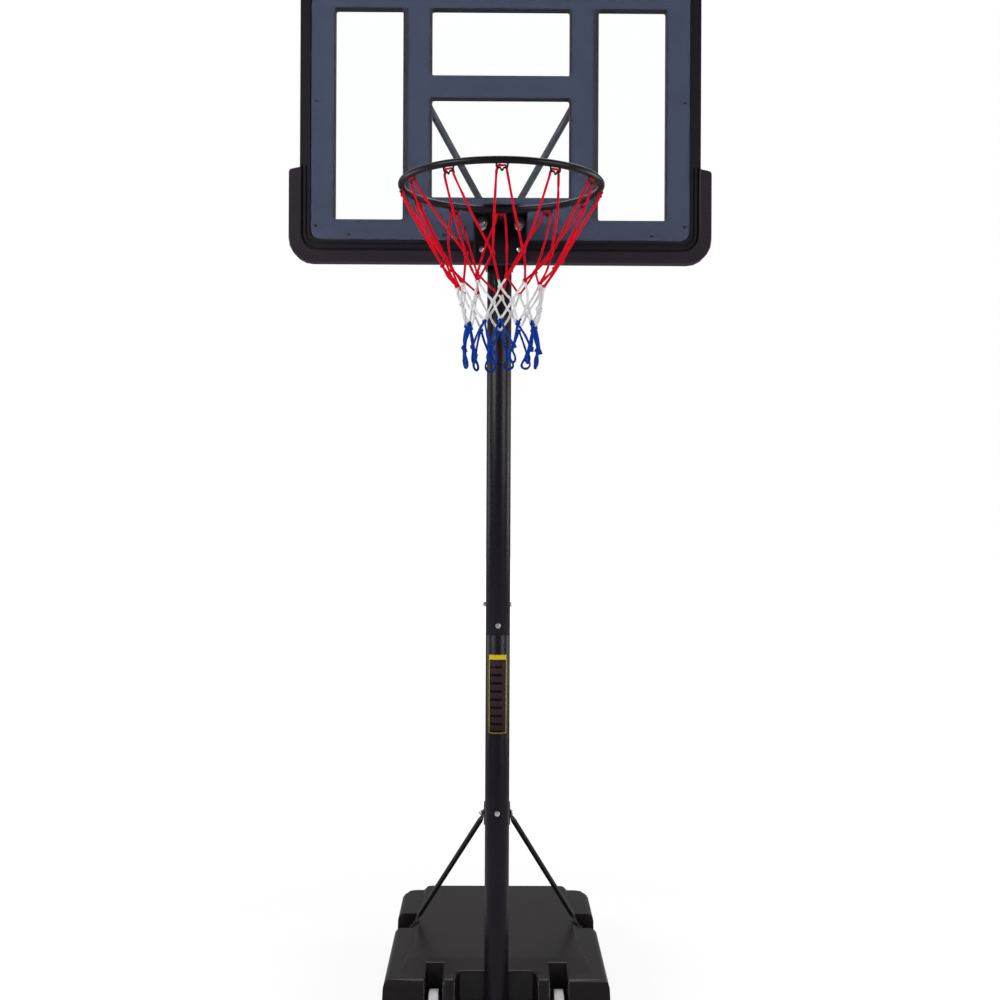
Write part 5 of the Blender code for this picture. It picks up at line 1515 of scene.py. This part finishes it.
@dataclass
class Rim:
    """The sprung rim: plates, ring with hooks, welds and springs."""

    rod: float = 0.008
    hooks: int = 12
    hook_wire: float = 0.002
    hook_half: float = 0.012
    shoulder: float = 0.009
    tip: float = 0.0155
    spring_wire: float = 0.0018
    spring_radius: float = 0.0135
    curls: float = 5.5
    per_curl: int = 28
    closed_rise: float = 0.06
    bead: float = 0.0034
    weld_wire: float = 0.0028
    weld_half_turn: float = 0.19
    weld_points: int = 56

    def build(self) -> None:
        """Make plates, ring, hooks, welds and springs."""
        for node, body in (("rim_back_plate", Body.HEAD), ("rim_bracket", Body.RIM)):
            add_piece(f"{node}_pressed", soften(copied(node), 0.0007, 2), COATED, body, [node])
        self.ring()
        self.welds()
        for side, _ in SIDES:
            self.spring(side)

    @property
    def radius(self) -> float:
        """From the ring's centre to the middle of its rod."""
        return half_size("rim_ring").x - self.rod

    @property
    def centre(self) -> Vector:
        """The middle of the ring, at the height of its rod's middle."""
        middle = centre_of("rim_ring")
        return Vector((middle.x, middle.y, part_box("rim_ring")[1].z - self.rod))

    def around(self, turn: float, reach: float, drop: float, run: float = 0.0) -> Vector:
        """A point near the ring.

        Args:
            turn: Hooks counted from the front one.
            reach: Distance from the ring's centre.
            drop: Distance below the rod's middle.
            run: Distance along the ring from that turn.

        Returns:
            The point.
        """
        angle = FULL_TURN * turn / self.hooks - math.pi / 2
        outward = Vector((math.cos(angle), math.sin(angle), 0))
        along = Vector((-math.sin(angle), math.cos(angle), 0))
        return self.centre + outward * math.sqrt(max(reach**2 - run**2, 0)) + along * run - UP * drop

    def ring(self) -> None:
        """The rod bent to a ring, with a wire hook welded under it at each twelfth."""
        sides = 20
        turns = [FULL_TURN * k / sides for k in range(sides)]
        profile = [(self.radius + self.rod * math.cos(a), self.rod * math.sin(a)) for a in turns]
        shape = lathe(profile, 160, centre=self.centre, ring=True)
        under = self.rod * 0.78
        half, low = self.hook_half, self.rod + self.shoulder
        right = [(half * 0.36, low), (half * 0.72, low + 0.001), (half * 1.02, low - 0.003), (half, under)]
        left = [(-run, drop) for run, drop in reversed(right)]
        paths = []
        for k in range(self.hooks):
            bends = [*left, (0, self.rod + self.tip), *right]
            paths.append(rounded_path([self.around(k, self.radius, drop, run) for run, drop in bends], 4))
        absorb(shape, cleaned(wires(paths, self.hook_wire)))
        add_piece("rim_ring_rod", shape, COATED, Body.RIM, ["rim_ring"])
        beads = bmesh.new()
        for k in range(self.hooks):
            for run in (-half, half):
                bead = bmesh.new()
                bmesh.ops.create_icosphere(bead, subdivisions=2, radius=self.bead)
                bmesh.ops.scale(bead, vec=(1, 1, 0.6), verts=bead.verts)
                absorb(beads, bead, Matrix.Translation(self.around(k, self.radius, self.rod * 0.96, run)))
        add_piece("hook_welds", beads, COATED, Body.RIM)

    def welds(self) -> None:
        """Rippled weld beads where the bracket's shelf meets the ring."""
        count = self.weld_points
        reach = self.radius + self.rod * 0.72
        path = []
        for k in range(count):
            turn = math.pi / 2 + self.weld_half_turn * (2 * k / (count - 1) - 1)
            out = Vector((math.cos(turn), math.sin(turn), 0))
            path.append(self.centre + out * reach + UP * self.rod * 0.62)
        swell = [0.8 + 0.25 * abs(math.sin(k * 1.35)) for k in range(count)]
        shape = cleaned(wires([path], self.weld_wire, swell=swell))
        add_piece("rim_weld", shape, COATED, Body.RIM)

    def spring(self, side: str) -> None:
        """A compression spring with closed ends, built at the length of its solid.

        Args:
            side: Which of the two it is.
        """
        node = f"spring_{side}"
        low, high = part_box(node)
        centre = centre_of(node)
        start, end = low.y + self.spring_wire, high.y - self.spring_wire
        count = int(self.curls * self.per_curl)
        flat, closed = 0.5 / self.curls, self.closed_rise
        path = []
        for k in range(count + 1):
            share = k / count
            if share < flat:
                rise = closed * share / flat
            elif share > 1 - flat:
                rise = 1 - closed * (1 - share) / flat
            else:
                rise = closed + (1 - 2 * closed) * (share - flat) / (1 - 2 * flat)
            angle = FULL_TURN * self.curls * share
            wave = Vector((math.cos(angle), 0, math.sin(angle))) * self.spring_radius
            path.append(Vector((centre.x, start + (end - start) * rise, centre.z)) + wave)
        shape = cleaned(wires([path], self.spring_wire, 3))
        piece = add_piece(f"{node}_coil", shape, CHROME, Body.HEAD, [node], 60)
        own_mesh(piece)


@dataclass(frozen=True)
class KnotRow:
    """One ring of knots: its depth below the rim, its radius, its twist, and how far its knots stray.

    The twist and the play along the ring are counted in hooks.
    """

    drop: float
    reach: float
    twist: float
    play: float
    rise: float


@dataclass
class Net:
    """The knotted net: braided twine hung from the ring's hooks."""

    rim: Rim
    twine: float = 0.0028
    rows: tuple[KnotRow, ...] = (
        KnotRow(0.180, 0.140, 0.26, 0.09, 0.005),
        KnotRow(0.243, 0.103, 0.00, 0.16, 0.009),
        KnotRow(0.284, 0.091, 0.02, 0.14, 0.006),
        KnotRow(0.326, 0.083, 0.00, 0.12, 0.005),
        KnotRow(0.382, 0.090, 0.00, 0.14, 0.008),
    )
    loop_drop: float = 0.426
    loop_reach: float = 0.086
    loop_half: float = 0.0145
    red_ends: float = 0.238
    white_ends: float = 0.322
    slack: float = 0.004
    reach_play: float = 0.004
    uneven: float = 0.3
    grip: float = 0.0125
    wrap_points: int = 26
    wrap_turns: float = 2.2
    seed: int = 7

    def __post_init__(self) -> None:
        """Start the chance, and the memory of where each knot hangs."""
        self.random = random.Random(self.seed)
        self.knots: dict[tuple[int, float], Vector] = {}

    def build(self) -> None:
        """Lay every strand and knot as one piece."""
        strands = [self.hanger(k) for k in range(self.rim.hooks)]
        for k in range(self.rim.hooks):
            for row in range(len(self.rows) - 1):
                shift = 0.5 if row % 2 == 0 else 0.0
                for step in (-0.5, 0.5):
                    strands.append(self.strand((row, k + shift), (row + 1, k + shift + step)))
        loops = [self.loop(k) for k in range(self.rim.hooks)]
        shape = wires(strands, self.twine, uneven=self.uneven)
        absorb(shape, wires(loops, self.twine, closed=True, uneven=self.uneven))
        wraps = [self.wrap(row, k) for row in range(len(self.rows)) for k in range(self.rim.hooks)]
        absorb(shape, wires(wraps, self.twine * 0.85))
        dyes = shade(232, 0, 40), shade(250, 249, 251), shade(12, 66, 172)
        top = self.rim.centre.z
        finish = BandedTwine("banded_twine", "twine", *dyes, top - self.red_ends, top - self.white_ends)
        add_piece("net_twine", cleaned(shape), finish, Body.RIM, ["net"], 60)

    def knot(self, row: int, turn: float) -> Vector:
        """Where a knot hangs: its even place, moved a little by chance.

        Args:
            row: Its ring of knots, from the top.
            turn: Hooks counted from the front one.

        Returns:
            The middle of the knot.
        """
        key = (row, round(turn % self.rim.hooks, 2))
        if key not in self.knots:
            ring = self.rows[row]
            jog = [self.random.uniform(-1, 1) for _ in range(3)]
            stray = key[1] + ring.twist + jog[0] * ring.play
            reach, drop = ring.reach + jog[1] * self.reach_play, ring.drop + jog[2] * ring.rise
            self.knots[key] = self.rim.around(stray, reach, drop)
        return self.knots[key]

    def hanger(self, k: int) -> Path:
        """The twine from one top knot up over a hook and down to the next top knot.

        Args:
            k: The hook's number.

        Returns:
            The twine's path.
        """
        rim = self.rim
        inside = rim.radius - rim.hook_wire - self.twine
        shoulder = rim.rod + rim.shoulder
        over = shoulder - rim.hook_wire - self.twine
        left, right = self.knot(0, k - 0.5), self.knot(0, k + 0.5)
        bends = [
            (rim.radius, over, 0.0075),
            (inside, shoulder + 0.002, 0.0105),
            (inside - 0.002, shoulder + 0.014, self.grip),
        ]
        up = [rim.around(k, reach, drop, -run) for reach, drop, run in reversed(bends)]
        down = [rim.around(k, reach, drop, run) for reach, drop, run in bends]
        rise = self.bowed(left, rim.around(k, inside, shoulder, -self.grip))
        fall = self.bowed(right, rim.around(k, inside, shoulder, self.grip))
        crest = rim.around(k, rim.radius + self.twine, over + 0.001)
        return rounded_path([left, rise, *up, crest, *down, fall, right])

    def bowed(self, knot: Vector, hook: Vector) -> Vector:
        """The middle of a long strand from a knot up to a hook, bowed a little outwards.

        Args:
            knot: Its lower end.
            hook: Its upper end.

        Returns:
            The point that the strand passes through.
        """
        middle = knot.lerp(hook, self.random.uniform(0.42, 0.55))
        outward = (middle - self.rim.centre).to_2d().to_3d().normalized()
        aside = Vector((-outward.y, outward.x, 0)) * self.random.uniform(-1, 1) * self.slack
        return middle + outward * self.slack * self.random.uniform(0.6, 2.0) + aside

    def strand(self, first: tuple[int, float], second: tuple[int, float]) -> Path:
        """The twine between two knots, a little slack to one side.

        Args:
            first: The row and turn of the upper knot.
            second: The row and turn of the lower knot.

        Returns:
            The twine's path.
        """
        start, end = self.knot(*first), self.knot(*second)
        outward = (start + end - 2 * self.rim.centre).to_2d().to_3d().normalized()
        aside = outward * self.slack * self.random.uniform(-0.4, 1.2)
        sag = UP * self.slack * self.random.uniform(-0.6, 0.2)
        return rounded_path([start, (start + end) / 2 + aside + sag, end], 5)

    def loop(self, k: int) -> Path:
        """The long drop-shaped loop that hangs from a lowest knot.

        Args:
            k: The number of the hook above it.

        Returns:
            The loop's path, which comes back to its start.
        """
        turn = k + 0.5 if len(self.rows) % 2 else k
        top = self.knot(len(self.rows) - 1, turn)
        arc = FULL_TURN * self.loop_reach / self.rim.hooks
        swing = self.random.uniform(-0.12, 0.12)
        half = self.loop_half / arc * self.random.uniform(0.4, 1.05)
        top_drop = self.rim.centre.z - top.z
        deep = self.loop_drop - self.random.uniform(0, 0.009)
        side = [(0.28, 0.42), (0.62, 0.95), (0.84, 0.9), (0.97, 0.45)]
        corners = [top + UP * 0.002]
        for share, wide in side:
            corners.append(self.hang(turn + swing * share + half * wide, top_drop, deep, share))
        corners.append(self.hang(turn + swing, top_drop, deep, 1.0))
        for share, wide in reversed(side):
            corners.append(self.hang(turn + swing * share - half * wide, top_drop, deep, share))
        return rounded_path(corners, 5, closed=True)

    def hang(self, turn: float, top: float, deep: float, share: float) -> Vector:
        """A point of a hanging loop, at a share of the way down from its top to its deepest point."""
        return self.rim.around(turn, self.loop_reach + 0.002 * (1 - share), top + (deep - top) * share)

    def wrap(self, row: int, k: int) -> Path:
        """The turns of twine that make a knot.

        Args:
            row: The knot's ring, from the top.
            k: The number of the hook above it.

        Returns:
            The wrap's path.
        """
        centre = self.knot(row, k + (0.5 if row % 2 == 0 else 0.0))
        radius, rise = self.twine * 1.25, self.twine * 3.0
        tilt = Matrix.Rotation(self.random.uniform(-0.5, 0.5), 4, "Y")
        path = []
        for i in range(self.wrap_points):
            share = i / (self.wrap_points - 1)
            angle = FULL_TURN * self.wrap_turns * share
            local = Vector((math.cos(angle) * radius, math.sin(angle) * radius, rise * (share - 0.5)))
            path.append(centre + tilt @ local)
        return path


@dataclass
class Studio:
    """Camera, floor, lamps and surroundings."""

    eye: Vector = Vector((-0.018, -3.587, 1.563))
    heading: float = 0.0062
    roll: float = 0.0045
    lens: float = 45.25
    floor_size: float = 60.0
    backdrop: float = 0.27
    front: float = 0.13

    def build(self) -> None:
        """Set the whole stage."""
        self.camera()
        self.floor()
        self.world()
        self.lamp("key", (-3.0, -2.8, 3.1), (0, 0, 1.8), 2.0, 105)
        self.lamp("fill", (3.2, -2.8, 2.4), (0, 0, 1.8), 2.0, 75)
        self.lamp("top", (0.2, 1.7, 5.4), (0, 0.4, 0.6), 3.0, 85)
        self.lamp("left_strip", (-3.4, 0.9, 1.7), (0, 0, 1.5), 1.8, 28)
        self.lamp("right_strip", (3.4, 0.9, 1.7), (0, 0, 1.5), 1.8, 36)
        bpy.context.scene.view_settings.view_transform = "Standard"

    def camera(self) -> None:
        """A camera in front of the rim, turned and tipped by a fraction of a degree."""
        data = bpy.data.cameras.new("camera")
        data.lens = self.lens
        data.sensor_width = 36.0
        data.clip_end = 200.0
        camera = bpy.data.objects.new("camera", data)
        camera.location = self.eye
        camera.rotation_euler = (math.pi / 2, -self.roll, -self.heading)
        bpy.context.scene.collection.objects.link(camera)
        bpy.context.scene.camera = camera

    def floor(self) -> None:
        """A wide plain floor."""
        shape = bmesh.new()
        bmesh.ops.create_grid(shape, x_segments=1, y_segments=1, size=self.floor_size / 2)
        mesh = bpy.data.meshes.new("floor")
        shape.to_mesh(mesh)
        shape.free()
        mesh.materials.append(material(Backdrop("pale_floor", None)))
        floor = bpy.data.objects.new("floor", mesh)
        bpy.context.scene.collection.objects.link(floor)

    def world(self) -> None:
        """A bright backdrop behind the object and a darker room in front of it, all white to the camera."""
        world = bpy.data.worlds.new("studio")
        bpy.context.scene.world = world
        graph = Graph(world, "Background", "Generated")
        depth = graph.parts(graph.place)["Y"]
        graph.feed(Color=(1, 1, 1), Strength=graph.between(depth, self.front, self.backdrop, -0.3, 0.7))
        white = graph.add("ShaderNodeBackground", {"Color": (1, 1, 1), "Strength": 1.0})
        graph.cover(graph.seen(), white.outputs[0])

    def lamp(self, name: str, place: Colour, aim: Colour, size: float, power: float) -> None:
        """A soft square lamp.

        Args:
            name: Its name.
            place: Where it stands.
            aim: The point that it faces.
            size: Its side.
            power: Its watts.
        """
        data = bpy.data.lights.new(name, "AREA")
        data.shape = "SQUARE"
        data.size = size
        data.energy = power
        lamp = bpy.data.objects.new(name, data)
        lamp.location = place
        lamp.rotation_euler = (Vector(place) - Vector(aim)).to_track_quat("Z", "Y").to_euler()
        lamp.visible_camera = False
        bpy.context.scene.collection.objects.link(lamp)


def main() -> None:
    """Build the stage, then every sub-assembly."""
    logging.basicConfig(level=logging.INFO, format="%(name)s %(message)s")
    Studio().build()
    rim = Rim()
    for assembly in (Tank(), Wheels(), Pole(), StrutPair(), Supports(), Board(), rim, Net(rim), Fasteners()):
        assembly.build()


if __name__ == "__main__":
    main()
